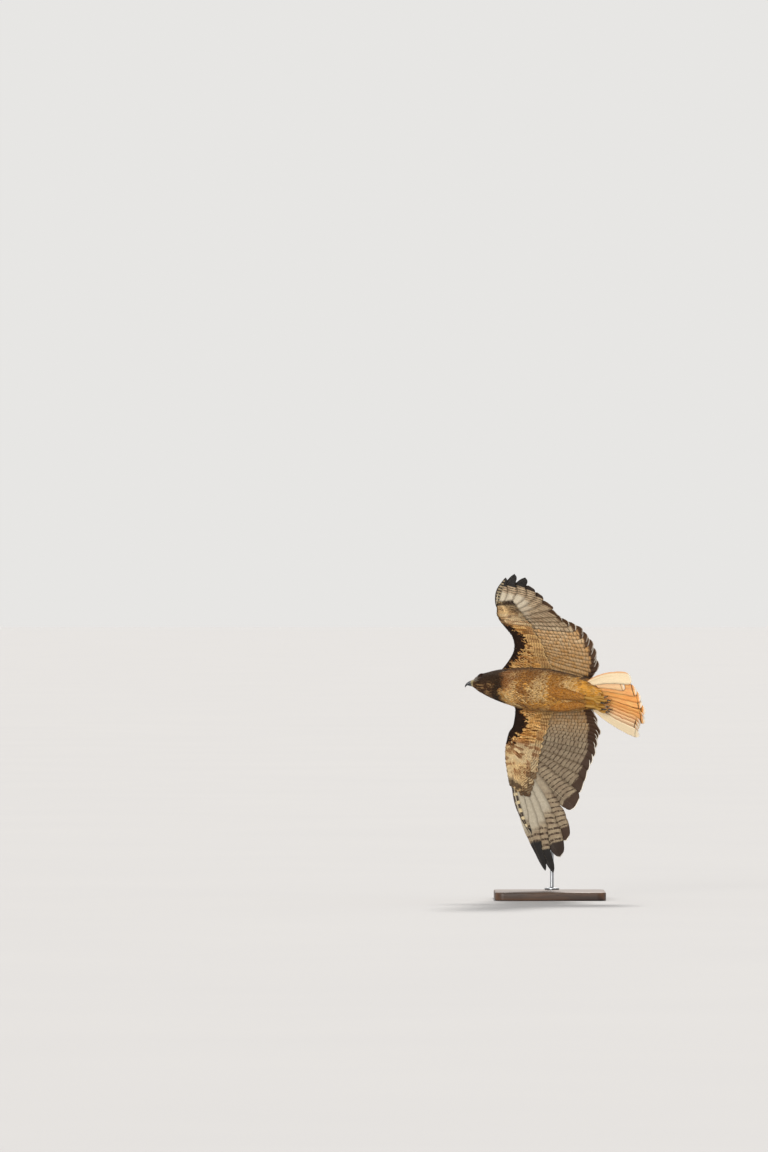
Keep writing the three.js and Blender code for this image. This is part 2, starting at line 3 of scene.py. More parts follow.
import bmesh
import bpy
import numpy as np
from mathutils import Euler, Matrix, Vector


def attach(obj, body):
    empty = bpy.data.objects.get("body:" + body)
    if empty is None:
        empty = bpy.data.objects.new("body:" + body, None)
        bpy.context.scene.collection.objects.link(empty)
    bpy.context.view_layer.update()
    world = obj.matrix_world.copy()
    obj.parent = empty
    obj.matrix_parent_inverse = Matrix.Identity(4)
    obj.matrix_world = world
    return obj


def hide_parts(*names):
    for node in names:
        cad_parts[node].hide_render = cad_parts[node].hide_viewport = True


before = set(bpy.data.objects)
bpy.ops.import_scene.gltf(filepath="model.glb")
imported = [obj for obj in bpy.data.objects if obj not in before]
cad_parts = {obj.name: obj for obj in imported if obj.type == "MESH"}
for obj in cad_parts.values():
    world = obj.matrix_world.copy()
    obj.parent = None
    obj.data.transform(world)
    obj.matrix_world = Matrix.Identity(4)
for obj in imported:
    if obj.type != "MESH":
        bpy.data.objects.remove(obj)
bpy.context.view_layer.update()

chance = np.random.default_rng(23)
fullTurn = 2 * np.pi
wingSides = {"left": 1, "right": -1}

# The bird is made in its own frame, in millimetres: x towards the bill, y to its left wing, z to its
# back. It is then banked over the stand, in metres.
birdPose = {"heading": 160, "noseUp": 5.2, "bank": 61.8, "place": (-5, -30, 566)}


def turnMatrix(*degrees):
    return np.array(Euler([math.radians(angle) for angle in degrees]).to_matrix())


birdTurn = turnMatrix(birdPose["bank"], -birdPose["noseUp"], birdPose["heading"])


def inRoom(points):
    return (np.asarray(points) @ birdTurn.T + birdPose["place"]) / 1000


def asRoom(points):
    return np.asarray(points) / 1000


# Small sums

def ease(value, low, high):
    t = np.clip((np.asarray(value, float) - low) / (high - low), 0, 1)
    return t * t * (3 - 2 * t)


def mixed(a, b, share):
    return a + (b - a) * share


def between(a, b, share):
    return mixed(np.array(a, float), np.array(b, float), share)


def hump(value, middle, reach):
    return np.exp(-(((np.asarray(value, float) - middle) / reach) ** 2))


def unit(vectors):
    return vectors / np.maximum(np.linalg.norm(vectors, axis=-1, keepdims=True), 1e-9)


def sampled(rows, at):
    # A smooth curve through the rows of a table, read at places along its first column
    rows = np.asarray(rows, float)
    x, y = rows[:, 0], rows[:, 1:]
    slopes = np.empty_like(y)
    slopes[1:-1] = (y[2:] - y[:-2]) / (x[2:] - x[:-2])[:, None]
    slopes[0] = (y[1] - y[0]) / (x[1] - x[0])
    slopes[-1] = (y[-1] - y[-2]) / (x[-1] - x[-2])
    at = np.clip(np.asarray(at, float), x[0], x[-1])
    i = np.clip(np.searchsorted(x, at, side="right") - 1, 0, len(x) - 2)
    span = (x[i + 1] - x[i])[..., None]
    t = (at - x[i])[..., None] / span
    return ((2 * t**3 - 3 * t**2 + 1) * y[i] + (t**3 - 2 * t**2 + t) * slopes[i] * span
            + (3 * t**2 - 2 * t**3) * y[i + 1] + (t**3 - t**2) * slopes[i + 1] * span)


def turnsOf(count):
    return np.linspace(0, fullTurn, count, endpoint=False)


def pairsOf(rows, columns):
    return (grid.ravel() for grid in np.meshgrid(rows, columns, indexing="ij"))


def spreadOut(value, *shape):
    return np.broadcast_to(value, shape).ravel().astype(float)


def paint(code):
    # A colour written as six hex digits, as the linear light that shaders use
    values = np.array([int(code[k:k + 2], 16) for k in (0, 2, 4)]) / 255
    return np.where(values <= 0.04045, values / 12.92, ((values + 0.055) / 1.055) ** 2.4)


def painted(first, second, share):
    # Paints or colours at each point, mixed by a share at each point
    first, second = (paint(c) if isinstance(c, str) else c for c in (first, second))
    return mixed(first, second, np.asarray(share)[:, None])


# Meshes are gathered as parts: points, four-sided faces, and named values at the points

def gridFaces(rows, columns):
    r, c = np.meshgrid(np.arange(rows - 1), np.arange(columns), indexing="ij")
    a, b = r * columns + c, r * columns + (c + 1) % columns
    return np.stack([a, b, b + columns, a + columns], -1).reshape(-1, 4)


def joined(parts):
    starts = np.cumsum([0] + [len(p["points"]) for p in parts])
    values = {}
    for key in sorted({key for p in parts for key in p["values"]}):
        shape = next(p["values"][key].shape[1:] for p in parts if key in p["values"])
        missing = [np.zeros((len(p["points"]), *shape)) for p in parts]
        values[key] = np.concatenate([p["values"].get(key, none) for p, none in zip(parts, missing)])
    faces = np.concatenate([p["faces"] + start for p, start in zip(parts, starts)])
    return np.concatenate([p["points"] for p in parts]), faces, values


def handOver(name, mesh, finish, instead, bevel=None):
    mesh.materials.append(finish.material)
    piece = bpy.data.objects.new(name, mesh)
    bpy.context.scene.collection.objects.link(piece)
    if bevel:
        rounded = piece.modifiers.new("edges", "BEVEL")
        rounded.width, rounded.segments = bevel, 4
        rounded.limit_method, rounded.angle_limit = "ANGLE", math.radians(50)
    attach(piece, "root")
    if instead:
        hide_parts(*instead)


def makePiece(name, parts, finish, instead=(), place=inRoom):
    points, faces, values = joined(parts)
    points = place(points)
    corners = points[faces]
    if "facing" in values:
        # Thin feathers are told by the side their shading faces, other pieces by their volume
        across = np.cross(corners[:, 1] - corners[:, 0], corners[:, 2] - corners[:, 0])
        outwards = ((values["facing"] @ birdTurn.T)[faces].mean(1) * across).sum()
    else:
        outwards = sum((corners[:, 0] * np.cross(corners[:, k], corners[:, k + 1])).sum() for k in (1, 2))
    if outwards < 0:
        faces = faces[:, ::-1]
    mesh = bpy.data.meshes.new(name)
    mesh.from_pydata(points, [], faces.tolist())
    patch, facing = values.pop("patch", None), values.pop("facing", None)
    if patch is not None:
        layer = mesh.uv_layers.new(name="OFBake")
        layer.data.foreach_set("uv", patch[faces.ravel()].astype(np.float32).ravel())
    for key, value in values.items():
        kind, field = ("FLOAT_COLOR", "color") if value.ndim == 2 else ("FLOAT", "value")
        if value.ndim == 2:
            value = np.column_stack([value, np.ones(len(value))])
        layer = mesh.attributes.new(key, kind, "POINT")
        layer.data.foreach_set(field, value.astype(np.float32).ravel())
    mesh.shade_smooth()
    if facing is not None:
        mesh.normals_split_custom_set_from_vertices(facing @ birdTurn.T)
    handOver(name, mesh, finish, instead)
    print(f"{name}: {2 * len(faces)} triangles")


# Finishes: a sum written with values of a finish adds the nodes that work it out

class NodeValue:
    def __init__(self, finish, socket):
        self.finish, self.socket = finish, socket

    def calc(self, operation, *others):
        return self.finish.add("Math", dict(enumerate((self, *others))), operation=operation)

    def __add__(self, other):
        return self.calc("ADD", other)

    def __sub__(self, other):
        return self.calc("SUBTRACT", other)

    def __rsub__(self, other):
        return self.finish.add("Math", {0: other, 1: self}, operation="SUBTRACT")

    def __mul__(self, other):
        return self.calc("MULTIPLY", other)

    def __truediv__(self, other):
        return self.calc("DIVIDE", other)

    def __abs__(self):
        return self.calc("ABSOLUTE")


class Finish:
    def __init__(self, name, **fixed):
        self.material = bpy.data.materials.new(name)
        self.material.use_nodes = True
        self.tree = self.material.node_tree
        self.surface = self.tree.nodes["Principled BSDF"]
        for key, value in fixed.items():
            self.surface.inputs[key.replace("_", " ")].default_value = value

    def add(self, kind, inputs=None, output=0, **settings):
        made = self.tree.nodes.new("ShaderNode" + kind)
        for key, value in settings.items():
            setattr(made, key, value)
        for key, value in (inputs or {}).items():
            if isinstance(value, NodeValue):
                self.tree.links.new(value.socket, made.inputs[key])
            else:
                made.inputs[key].default_value = value
        return NodeValue(self, made.outputs[output])

    def feed(self, **values):
        for key, value in values.items():
            self.tree.links.new(value.socket, self.surface.inputs[key.replace("_", " ")])

    def read(self, name, output="Fac"):
        return self.add("Attribute", output=output, attribute_name=name)

    def where(self, *stretch):
        # Places on the object, drawn out if three scales are given
        at = self.add("TexCoord", output="Object")
        return self.add("Mapping", {"Vector": at, "Scale": stretch}) if stretch else at

    def at(self, x, y, z):
        return self.add("CombineXYZ", {0: x, 1: y, 2: z})

    def grain(self, scale, detail=3.0, where=None):
        sockets = {"Scale": scale, "Detail": detail, "Roughness": 0.55, "Vector": where or self.where()}
        return self.add("TexNoise", sockets, "Fac")

    def step(self, value, low, high, start=0.0, end=1.0):
        sockets = {"Value": value, "From Min": low, "From Max": high, "To Min": start, "To Max": end}
        return self.add("MapRange", sockets, "Result", interpolation_type="SMOOTHSTEP")

    def blend(self, share, first, second, kind="MIX"):
        first, second = ((*paint(c), 1) if isinstance(c, str) else c for c in (first, second))
        return self.add("Mix", {0: share, 6: first, 7: second}, 2, data_type="RGBA", blend_type=kind)

    def shade(self, colour, amount):
        return self.blend(1.0, colour, self.at(amount, amount, amount), "MULTIPLY")

    def bump(self, height, strength, distance):
        return self.add("Bump", {"Strength": strength, "Distance": distance, "Height": height}, "Normal")

    def letThrough(self, share, colour):
        # Thin vanes glow where light falls on their other side
        glow = self.add("BsdfTranslucent", {"Color": colour})
        sockets = {0: share, 1: NodeValue(self, self.surface.outputs[0]), 2: glow}
        both = self.add("MixShader", sockets)
        self.tree.links.new(both.socket, self.tree.nodes["Material Output"].inputs["Surface"])


def twoTone(name, first, second, scale, bump=None, **fixed):
    # Two paints mixed in a grain, which may also be the bump
    m = Finish(name, **fixed)
    cloud = m.grain(*scale)
    m.feed(Base_Color=m.blend(cloud, first, second))
    if bump:
        m.feed(Normal=m.bump(cloud, *bump))
    return m


# Body: x, half width, height of the back, depth of the belly
body = {
    "outline": [
        [-158, 30, 17, 19], [-135, 38, 22, 26], [-105, 45, 30, 37], [-70, 51, 39, 49], [-30, 56, 46, 57],
        [10, 59, 50, 62], [50, 58, 51, 62], [85, 54, 49, 57], [110, 49, 46, 51], [130, 45, 44, 46],
        [145, 41.5, 42, 41], [160, 37, 37.5, 36.5], [176, 31, 32, 31], [188, 25.5, 27, 26],
        [198, 19.5, 21, 20.5], [206, 14.5, 14.5, 15.5], [212, 10, 10, 11],
    ],
    "headRoll": 23, "rollFrom": 118, "rollTo": 178,
    # how high the brow stands and how deep the socket lies, at x, at degrees from the crown, and reaches
    "brow": {"rise": 2.6, "x": 195, "reach": 9, "round": 48, "spread": 16},
    "socket": {"rise": -2.2, "x": 194, "reach": 8, "round": 76, "spread": 14},
    "tailJoin": -112.35,
    # rings of the rump behind the tail's hinge: distance, half width, up, down
    "rump": [[52, 41, 20, 24], [70, 37, 13, 16], [86, 33, 7, 9], [98, 27, 2.5, 4]],
}


def rolled(points, angle):
    x, y, z = np.moveaxis(points, -1, 0)
    return np.stack([x, y * np.cos(angle) + z * np.sin(angle), z * np.cos(angle) - y * np.sin(angle)], -1)


def onHead(x, y, z):
    return rolled(np.stack(np.broadcast_arrays(x, y, z), -1).astype(float), math.radians(body["headRoll"]))


def onBodyRing(x, turn, grown=0.0):
    # A place on the body. turn is 0 on the left side, a quarter on the back, in radians
    x, turn, grown = np.broadcast_arrays(np.asarray(x, float), turn, grown)
    width, back, belly = np.moveaxis(sampled(body["outline"], x), -1, 0)
    y = (width + grown) * np.cos(turn)
    z = (np.where(np.sin(turn) > 0, back, belly) + grown) * np.sin(turn)
    fromTop = np.abs(np.arctan2(y, z))
    raised = sum(form["rise"] * hump(x, form["x"], form["reach"])
                 * hump(fromTop, math.radians(form["round"]), math.radians(form["spread"]))
                 for form in (body["brow"], body["socket"]))
    swell = 1 + raised / np.maximum(np.hypot(y, z), 1)
    roll = math.radians(body["headRoll"]) * ease(x, body["rollFrom"], body["rollTo"])
    return rolled(np.stack([x, y * swell, z * swell], -1), roll)


# Tail: the hinge, how it hangs, and the fan
tailSet = {
    "pivot": (-79, 4, 9), "drop": 17, "turn": 4, "roll": -3,
    "lengths": [217, 178, 219, 222, 226, 229, 230, 228, 220, 212, 214, 217],
    "uneven": [0, 2, -3, 1.5, -3.5, 1, -2.5, 1.5, -4, 2, -2, 1],
    "spreadLeft": 27, "spreadRight": 12.5, "rootLeft": 15, "rootRight": 21, "rootBack": 40,
    "bow": 11, "arch": 8, "archAt": 217, "width": 37, "tiltLeft": 0.12, "tiltRight": 0.17, "rightDrop": 2.8,
}
tailTurn = (turnMatrix(0, -tailSet["drop"], 0) @ turnMatrix(tailSet["roll"], 0, 0)
            @ turnMatrix(0, 0, tailSet["turn"]))


def onTail(back, left, up):
    points = np.stack(np.broadcast_arrays(-np.asarray(back, float), left, up), -1)
    return points @ tailTurn.T + tailSet["pivot"]


def onBody(x, turn, grown=0.0):
    # A place on the body, or past the tail join on the rump, which narrows into the tail
    x, turn, grown = np.broadcast_arrays(np.asarray(x, float), turn, grown)
    start = body["tailJoin"]
    place, before = onBodyRing(np.maximum(x, start), turn, grown), onBodyRing(start, turn, grown)
    rise = np.sin(turn)
    for reach, wide, up, down in body["rump"]:
        ring = onTail(reach, (wide + grown) * np.cos(turn), rise * (np.where(rise > 0, up, down) + grown))
        end = tailSet["pivot"][0] - reach
        share = np.clip((start - x) / (start - end), 0, 1)[..., None]
        place = np.where((x <= start)[..., None], mixed(before, ring, share), place)
        before, start = ring, end
    return place


# Wings, laid out flat: s runs outwards from the body's middle and x forwards, then the whole is bent
wingBend = {"out": 40, "up": 25, "rise": 4.5, "drop": 38.5, "from": 140, "to": 215}
wingLayouts = {
    "left": {
        "leading": [[30, 144], [47, 130], [75, 111], [97, 101], [121, 99], [144, 106], [163, 119], [186, 129],
                    [205, 131], [235, 127], [269, 117], [327, 101]],
        "primaryTips": [[201, -90], [224, -74], [256, -60], [295, -53], [355, -48], [414, -41], [458, -29],
                        [514, -34], [532, -9], [500, 25]],
        "trailing": [[28, -106], [47, -128], [67, -142], [88, -144], [108, -141], [125, -135], [140, -131],
                     [154, -122], [180, -106]],
        "wristGap": 6, "fingerBow": 5,
    },
    "right": {
        "leading": [[30, 130], [60, 118], [76, 114], [92, 113], [121, 119], [147, 127], [163, 138],
                    [180, 143], [205, 146], [235, 142], [270, 132], [327, 113]],
        "primaryTips": [[221, -108], [240, -102], [272, -96], [305, -88], [351, -77], [444, -66], [490, -55],
                        [534, -42], [531, -19], [438, 36]],
        "trailing": [[28, -92], [47, -112], [67, -122], [98, -126], [135, -130], [170, -120], [198, -114]],
        "wristGap": 1, "fingerBow": 9,
    },
}


def onWing(side, s, x, h):
    s, x, h = np.broadcast_arrays(np.asarray(s, float), x, h)
    rise, drop = math.radians(wingBend["rise"]), -math.radians(wingBend["drop"])
    bent = wingBend["to"] - wingBend["from"]
    turn = (drop - rise) / bent
    straight = np.minimum(s, wingBend["from"]) - wingBend["out"]
    slope = rise + turn * np.clip(s - wingBend["from"], 0, bent)
    beyond = np.maximum(0, s - wingBend["to"])
    curvedOut, curvedUp = (np.sin(slope) - math.sin(rise)) / turn, (np.cos(slope) - math.cos(rise)) / turn
    out = wingBend["out"] + straight * math.cos(rise) + curvedOut + beyond * np.cos(slope)
    up = wingBend["up"] + straight * math.sin(rise) - curvedUp + beyond * np.sin(slope)
    return np.stack([x, side * (out - h * np.sin(slope)), up + h * np.cos(slope)], -1)


def leadingEdge(word, s):
    return sampled(wingLayouts[word]["leading"], s)[:, 0]


# Half the width of a feather along its length, as a share of its full half width
vaneShapes = {
    "round": [[0, 0.2], [0.08, 0.5], [0.2, 0.8], [0.4, 0.98], [0.6, 1], [0.86, 1], [0.93, 0.9], [0.97, 0.7],
              [0.99, 0.44], [1, 0.1]],
    "broad": [[0, 0.2], [0.14, 0.65], [0.4, 1], [0.72, 1], [0.84, 0.83], [0.93, 0.6], [0.98, 0.34],
              [1, 0.05]],
    "finger": [[0, 0.2], [0.14, 0.65], [0.4, 1], [0.6, 0.97], [0.7, 0.76], [0.8, 0.52], [0.91, 0.38],
               [0.97, 0.22], [1, 0.04]],
    "tail": [[0, 0.3], [0.2, 0.62], [0.5, 0.85], [0.8, 1], [0.9, 0.98], [0.95, 0.84], [0.98, 0.6],
             [0.993, 0.38], [1, 0.1]],
}
vaneMake = {
    "stations": 46, "lines": 9, "crowding": 1.35,  # lines run along the vane, stations crowd to its tip
    "splits": 3, "splitPlaces": (0.35, 0.97), "splitDepths": (0.03, 0.09), "splitReach": 0.02, "rough": 0.005,
    "tilt": 0.09, "rootTilt": 0.05, "thick": 0.5, "curl": 0.9,
    "shaft": 1.25, "shaftSides": 6, "shaftEnd": 0.18, "shaftWide": 0.55, "shaftHigh": 0.62,
}


def vanePart(points, faces, u, t, values):
    rows, columns = points.shape[:2]
    own = {key: spreadOut(value, rows, columns) for key, value in values.items()}
    own["patch"] = np.stack([spreadOut(u, rows, columns), spreadOut(0.01 + 0.98 * t, rows, columns)], -1)
    return {"points": points.reshape(-1, 3), "faces": faces, "values": own}


def bigFeather(place, root, tip, shape, feather, values):
    # A vane with a shaft. It is arched, its front web lies towards the back of the bird and its rear
    # web towards the belly, and its edge has a few splits. place(s, x, h) sets it in space.
    look = vaneMake | feather
    stations, across = look["stations"], np.linspace(-1, 1, look["lines"])
    t = 1 - (1 - np.linspace(0, 1, stations)) ** look["crowding"]
    length = np.linalg.norm(tip - root)
    along = (tip - root) / length
    front = np.array([-along[1], along[0]])
    share = sampled(vaneShapes[shape], t)
    edge = np.ones((stations, 2))
    for web in (0, 1):
        for at in chance.uniform(*look["splitPlaces"], look["splits"]):
            edge[:, web] -= chance.uniform(*look["splitDepths"]) * hump(t, at, look["splitReach"])
        edge[:, web] += chance.normal(0, look["rough"], stations)
    t = t[:, None]
    webShare = np.where(across > 0, look["front"], 1 - look["front"])
    reach = share * across * webShare * look["width"] * np.where(across > 0, edge[:, 1:], edge[:, :1])
    tilt = mixed(look["rootTilt"], look["tilt"], ease(t, 0.2, 0.7))
    height = tilt * reach - look["curl"] * across**2
    # How far each place is from the rounded end, straight along the feather
    last = np.linspace(0.6, 1, 160)
    atEdge = np.interp(share * np.abs(across), sampled(vaneShapes[shape], last)[::-1, 0], last[::-1])
    toRim = np.maximum(atEdge - t, 0) * length
    half = look["thick"] / 2 * np.sqrt(np.maximum(0.04, 1 - across**2)) * mixed(1, 0.6, t)

    def laid(t, aside, height):
        aside = aside + look["bow"] * 4 * t * (1 - t)
        return place(*(root[k] + along[k] * length * t + front[k] * aside for k in (0, 1)), height)

    both = lambda upper, lower: np.concatenate([upper, lower[:, ::-1]], 1)
    points = both(laid(t, reach, height + half), laid(t, reach, height - half))
    columns, k = 2 * look["lines"], np.arange(look["lines"] - 1)
    end = np.stack([k, k + 1, columns - 2 - k, columns - 1 - k], -1)
    faces = [gridFaces(stations, columns), end[:, ::-1], end + (stations - 1) * columns]
    bothWays, isTop = np.concatenate([across, across[::-1]]), np.arange(columns) < look["lines"]
    strip, strips = values.pop("strip")
    values |= {"along": t * length, "toTip": (1 - t) * length}
    u = (strip + np.where(isTop, 0.24, 0.7) + 0.2 * bothWays) / strips
    vane = vanePart(points, np.concatenate(faces), u, t, values | {
        "web": both(reach, reach), "toRim": both(toRim, toRim), "across": bothWays, "topSide": isTop,
    })

    t, turn = t[:-1], turnsOf(look["shaftSides"])
    thick = look["shaft"] * mixed(1, look["shaftEnd"], t)
    points = laid(t, thick * look["shaftWide"] * np.cos(turn), thick * look["shaftHigh"] * np.sin(turn))
    u = (strip + 0.96 + 0.02 * np.sin(turn)) / strips
    values |= {"along": t * length, "toTip": (1 - t) * length, "quill": 1, "topSide": np.sin(turn) > 0}
    return [vane, vanePart(points, gridFaces(len(t), len(turn))[:, ::-1], u, t, values)]


# Flight feathers: roots, widths and numbers of the two rows
flight = {
    "firstRoot": (194, 104), "lastRoot": (276, 115),
    "primaryWidths": [50, 52, 54, 56, 60, 64, 62, 57, 46, 31],
    "shapes": ["round"] * 5 + ["broad"] * 2 + ["finger"] * 3,
    "wrist": (181, 98), "elbow": (104, 28), "inner": (38, 20), "elbowAt": 0.7,
    "secondaries": 14, "secondaryWidth": 44, "bow": 2,
    # how much shorter each secondary is than the line of the edge, from the wrist in
    "steps": {"left": [0, 4, 0.5, 4.5, 1, 4.5, 0.5, 5, 6, 0, 6, 5.5, 0, 4.5],
              "right": [0, 4.5, 1, 5, 4.5, 0, 5, 4.5, 0.5, 5, 4.5, 0, 4.5, 3]},
    # how far the dark ends reach in, for the secondaries and for the primaries from the inmost out
    "bands": {"left": [18, 17, 17, 20, 17, 20, 22, 20, 25, 29, 27, 34, 35, 31],
              "right": [31, 30, 35, 33, 32, 38, 36, 34, 38, 35, 33, 33, 28, 25]},
    "darkEnds": {"left": [17, 18, 20, 24, 28, 30, 34, 76, 100, 70],
                 "right": [27, 29, 31, 34, 36, 40, 46, 72, 88, 22]},
    # how far bars go on past the dark ends of the outer primaries
    "reaches": {"left": {5: 70, 6: 64, 7: 56, 8: 44, 9: 34, 10: 24},
                "right": {6: 84, 7: 66, 8: 50, 9: 14, 10: 2}},
}


def secondaryRoot(t):
    at = flight["elbowAt"]
    if t < at:
        return between(flight["wrist"], flight["elbow"], t / at)
    return between(flight["elbow"], flight["inner"], (t - at) / (1 - at))


def quills(word):
    # Root, tip, shape and share of each flight feather, from the innermost primary out and then from
    # the wrist in to the body
    layout, made = wingLayouts[word], []
    for i, tip in enumerate(layout["primaryTips"]):
        root = between(flight["firstRoot"], flight["lastRoot"], i / 9)
        made.append({"root": root, "tip": np.array(tip, float), "shape": flight["shapes"][i],
                     "primary": i + 1, "width": flight["primaryWidths"][i], "front": mixed(0.4, 0.24, i / 9),
                     "bow": layout["fingerBow"] * float(ease(i, 3, 8)) + flight["bow"]})
    for k, t in enumerate(np.linspace(0, 1, flight["secondaries"])):
        s = mixed(layout["trailing"][-1][0] + layout["wristGap"], layout["trailing"][0][0], t)
        tip = np.array([s, float(sampled(layout["trailing"], s)[0]) + flight["steps"][word][k]])
        made.append({"root": secondaryRoot(t), "tip": tip, "shape": "round", "primary": 0,
                     "width": flight["secondaryWidth"], "front": 0.36, "bow": flight["bow"]})
    return made


vanePaint = {
    "pale": "c8b696", "warm": "c08f52", "grey": "988872", "bar": "3d2a1b", "band": "32231a",
    "bandWarm": "5f4127", "black": "17120f", "rim": "f7efdf", "base": "c6baa3", "spot": "cdb98f",
    "upper": "5a4430", "upperPale": "6e563f", "upperBar": "33261b", "shaft": "d8c7a2", "upperShaft": "2b1f16",
}


def featherBarbs(m, length, wide, slant, pitch, strength, distance):
    # Barbs run slantwise from the shaft
    return m.bump(((length - wide * slant) * pitch).calc("SINE"), strength, distance)


def flightFinish():
    p = vanePaint
    m = Finish("flight_vane", Roughness=0.62, Specular_IOR_Level=0.32)
    along, toTip, web, across, top, lot = map(m.read, ("along", "toTip", "web", "across", "topSide", "lot"))
    barFrom, reach, paleFrom, bandTo = map(m.read, ("barFrom", "barReach", "paleFrom", "bandTo"))
    wide = abs(web)
    where = m.at(along * 0.06, web * 0.05, lot * 40.0)
    cloud, finer = m.grain(1.0, 3.0, where), m.grain(6.0, 2.0, where)
    patchy = m.grain(2.2, 2.0, m.at(along * 0.03, web * 0.09, lot * 17.0))
    # Dark bars bow across both webs and break up here and there
    sway = (cloud - 0.5) * 9.0
    phase = (toTip + sway + wide * (wide * 0.007 + 0.04)) / m.read("barPitch")
    wave = abs((phase + lot).calc("FRACT") - 0.5)
    bars = m.step(wave, barFrom - 0.1, barFrom) * m.read("barred") * m.step(patchy, 0.32, 0.57, 0.3, 1.0)
    bars = bars * m.step(toTip, reach + 26.0, reach, m.read("barBeyond"), 1.0)
    under = m.blend(m.read("warmth"), p["grey"], p["warm"])
    under = m.blend(m.step(cloud, 0.3, 0.75) * 0.6, under, p["pale"])
    under = m.blend(m.step(toTip, paleFrom, paleFrom + 30.0) * m.read("paleShare"), under, p["base"])
    # The outer web's edge is paler and the shaft's side darker, and a factor per feather lightens or darkens
    # it as painted light and shade
    under = m.shade(under, m.step(wide, 1.0, 14.0, 0.84, 1.06) * m.read("lightness"))
    under = m.blend(bars, under, p["bar"])
    # Painted shade: a darker line where the next feather comes out from under the rear web
    under = m.blend(m.step(across, -0.78, -0.96) * m.read("seam"), under, p["bar"])
    upper = m.blend(bars, m.blend(cloud, p["upper"], p["upperPale"]), p["upperBar"])
    colour = m.blend(top, under, upper)
    # The trailing band and the fingers' dark ends
    ragged = (finer - 0.5) * 7.0
    inBand = m.step(toTip + ragged + wide * 0.28, bandTo + 3.0, bandTo - 3.0)
    bandColour = m.blend(m.read("bandWarm"), p["band"], p["bandWarm"])
    colour = m.blend(inBand, colour, m.blend(m.read("finger"), bandColour, p["black"]))
    # The first primary's front edge is dark with pale spots
    edge = m.read("spotted") * m.step(across, -0.45, -0.2) * (1.0 - top)
    colour = m.blend(edge * 0.95, colour, p["band"])
    spots = m.step(((toTip + sway * 1.6) * 0.27).calc("SINE"), 0.0, 0.5)
    spots = spots * edge * m.step(toTip, 14.0, 30.0) * m.step(across, 0.75, 0.45)
    colour = m.blend(spots, colour, p["spot"])
    # The pale rim of the tip
    rim = m.step(m.read("toRim") + ragged * 0.25, 2.9, 1.6) * m.step(toTip, 8.0, 4.0)
    rim = rim * (1.0 - top * 0.8) * m.read("rimShare")
    colour = m.shade(m.blend(rim, colour, p["rim"]), m.step(finer, 0.2, 0.8, 0.82, 1.14))
    shaft = m.blend(inBand * 0.8, m.blend(top, p["shaft"], p["upperShaft"]), p["band"])
    colour = m.blend(m.read("quill"), colour, shaft)
    m.feed(Base_Color=colour, Normal=featherBarbs(m, along, wide, 0.9, 5.2, 0.35, 0.0002))
    m.feed(Roughness=m.step(cloud, 0.2, 0.8, 0.5, 0.7))
    m.letThrough(0.12, colour)
    return m


def vaneLooks(word, i, primary):
    # The markings of one flight feather
    ends = flight["darkEnds"][word][primary - 1] if primary else flight["bands"][word][i - 10]
    finger, seventh, right = float(primary >= 8), primary == 7, word == "right"
    reaches = flight["reaches"][word]
    inwards, inner, outer = (float(ease(*spans)) for spans in ((i, 10, 22), (i, 17, 22), (primary, 4, 7)))
    looks = {
        "lot": chance.random(), "bandTo": ends, "finger": finger + 0.6 * seventh, "spotted": primary == 10,
        "rimShare": (1 - 0.95 * finger - 0.5 * seventh) * (1 if primary else 0.8 if right else 0.45),
        "paleFrom": ends + reaches.get(primary, 66) + 3, "paleShare": float(ease(primary, 5.4, 7)),
        "barReach": ends + reaches.get(primary, 400), "barBeyond": 0.06,
        "barFrom": mixed(mixed(0.41, 0.44, inwards), 0.34, float(ease(primary, 5, 8))),
        "barPitch": mixed(12.5, 17, ease(primary, 4, 8)) if primary else mixed(11.5, 8.0, inwards),
        "barred": mixed(0.9, 0.97, outer) if primary else mixed(0.9, 0.55, inwards),
        "warmth": 0.1 if primary else mixed(0.4, 1.0, inwards),
        "bandWarm": 0.25 + 0.5 * (inwards if right else 1 - inwards) * (primary < 6),
        # how dark the painted shade line is where the next feather overlaps
        "seam": 0.18 if not primary else 0.3 if primary < 7 else 0.2,
    }
    if right:
        # Painted shade on the right wing's underside: the primaries and the secondaries near the wrist are
        # darker, the innermost secondaries lighter
        near = float(ease(i, 16, 9))
        lightness = (1 + 0.6 * inner) * mixed(0.95, 0.7, near)
        looks["lightness"] = mixed(0.62, 0.76, outer) if primary else lightness
        looks["warmth"] = mixed(looks["warmth"], 0.15, near)
    else:
        # Painted light on the left wing's underside: its feathers are lighter and its primaries paler
        looks["lightness"] = 1.35 + 0.35 * outer if primary else 0.92 + 0.4 * float(ease(i, 16, 10))
        looks["warmth"] = min(1, looks["warmth"] + (0.1 if primary else 0.3))
        looks["barred"] *= 0.75 if primary < 6 else 0.9
        looks["paleShare"] = max(looks["paleShare"], 0.75 * float(ease(primary, 1, 5)))
    return looks


print("wings: flight feathers")
vaneFinish = flightFinish()
for word, side in wingSides.items():
    parts, rows = [], quills(word)
    onThisWing = lambda s, x, h: onWing(side, s, x, h)
    for i, q in enumerate(rows):
        looks = vaneLooks(word, i, q["primary"]) | {"strip": (i, len(rows))}
        feather = {key: q[key] for key in ("width", "front", "bow")}
        parts += bigFeather(onThisWing, q["root"], q["tip"], q["shape"], feather, looks)
    makePiece(f"flight_feathers_{word}", parts, vaneFinish, [f"wing_hand_{word}"])


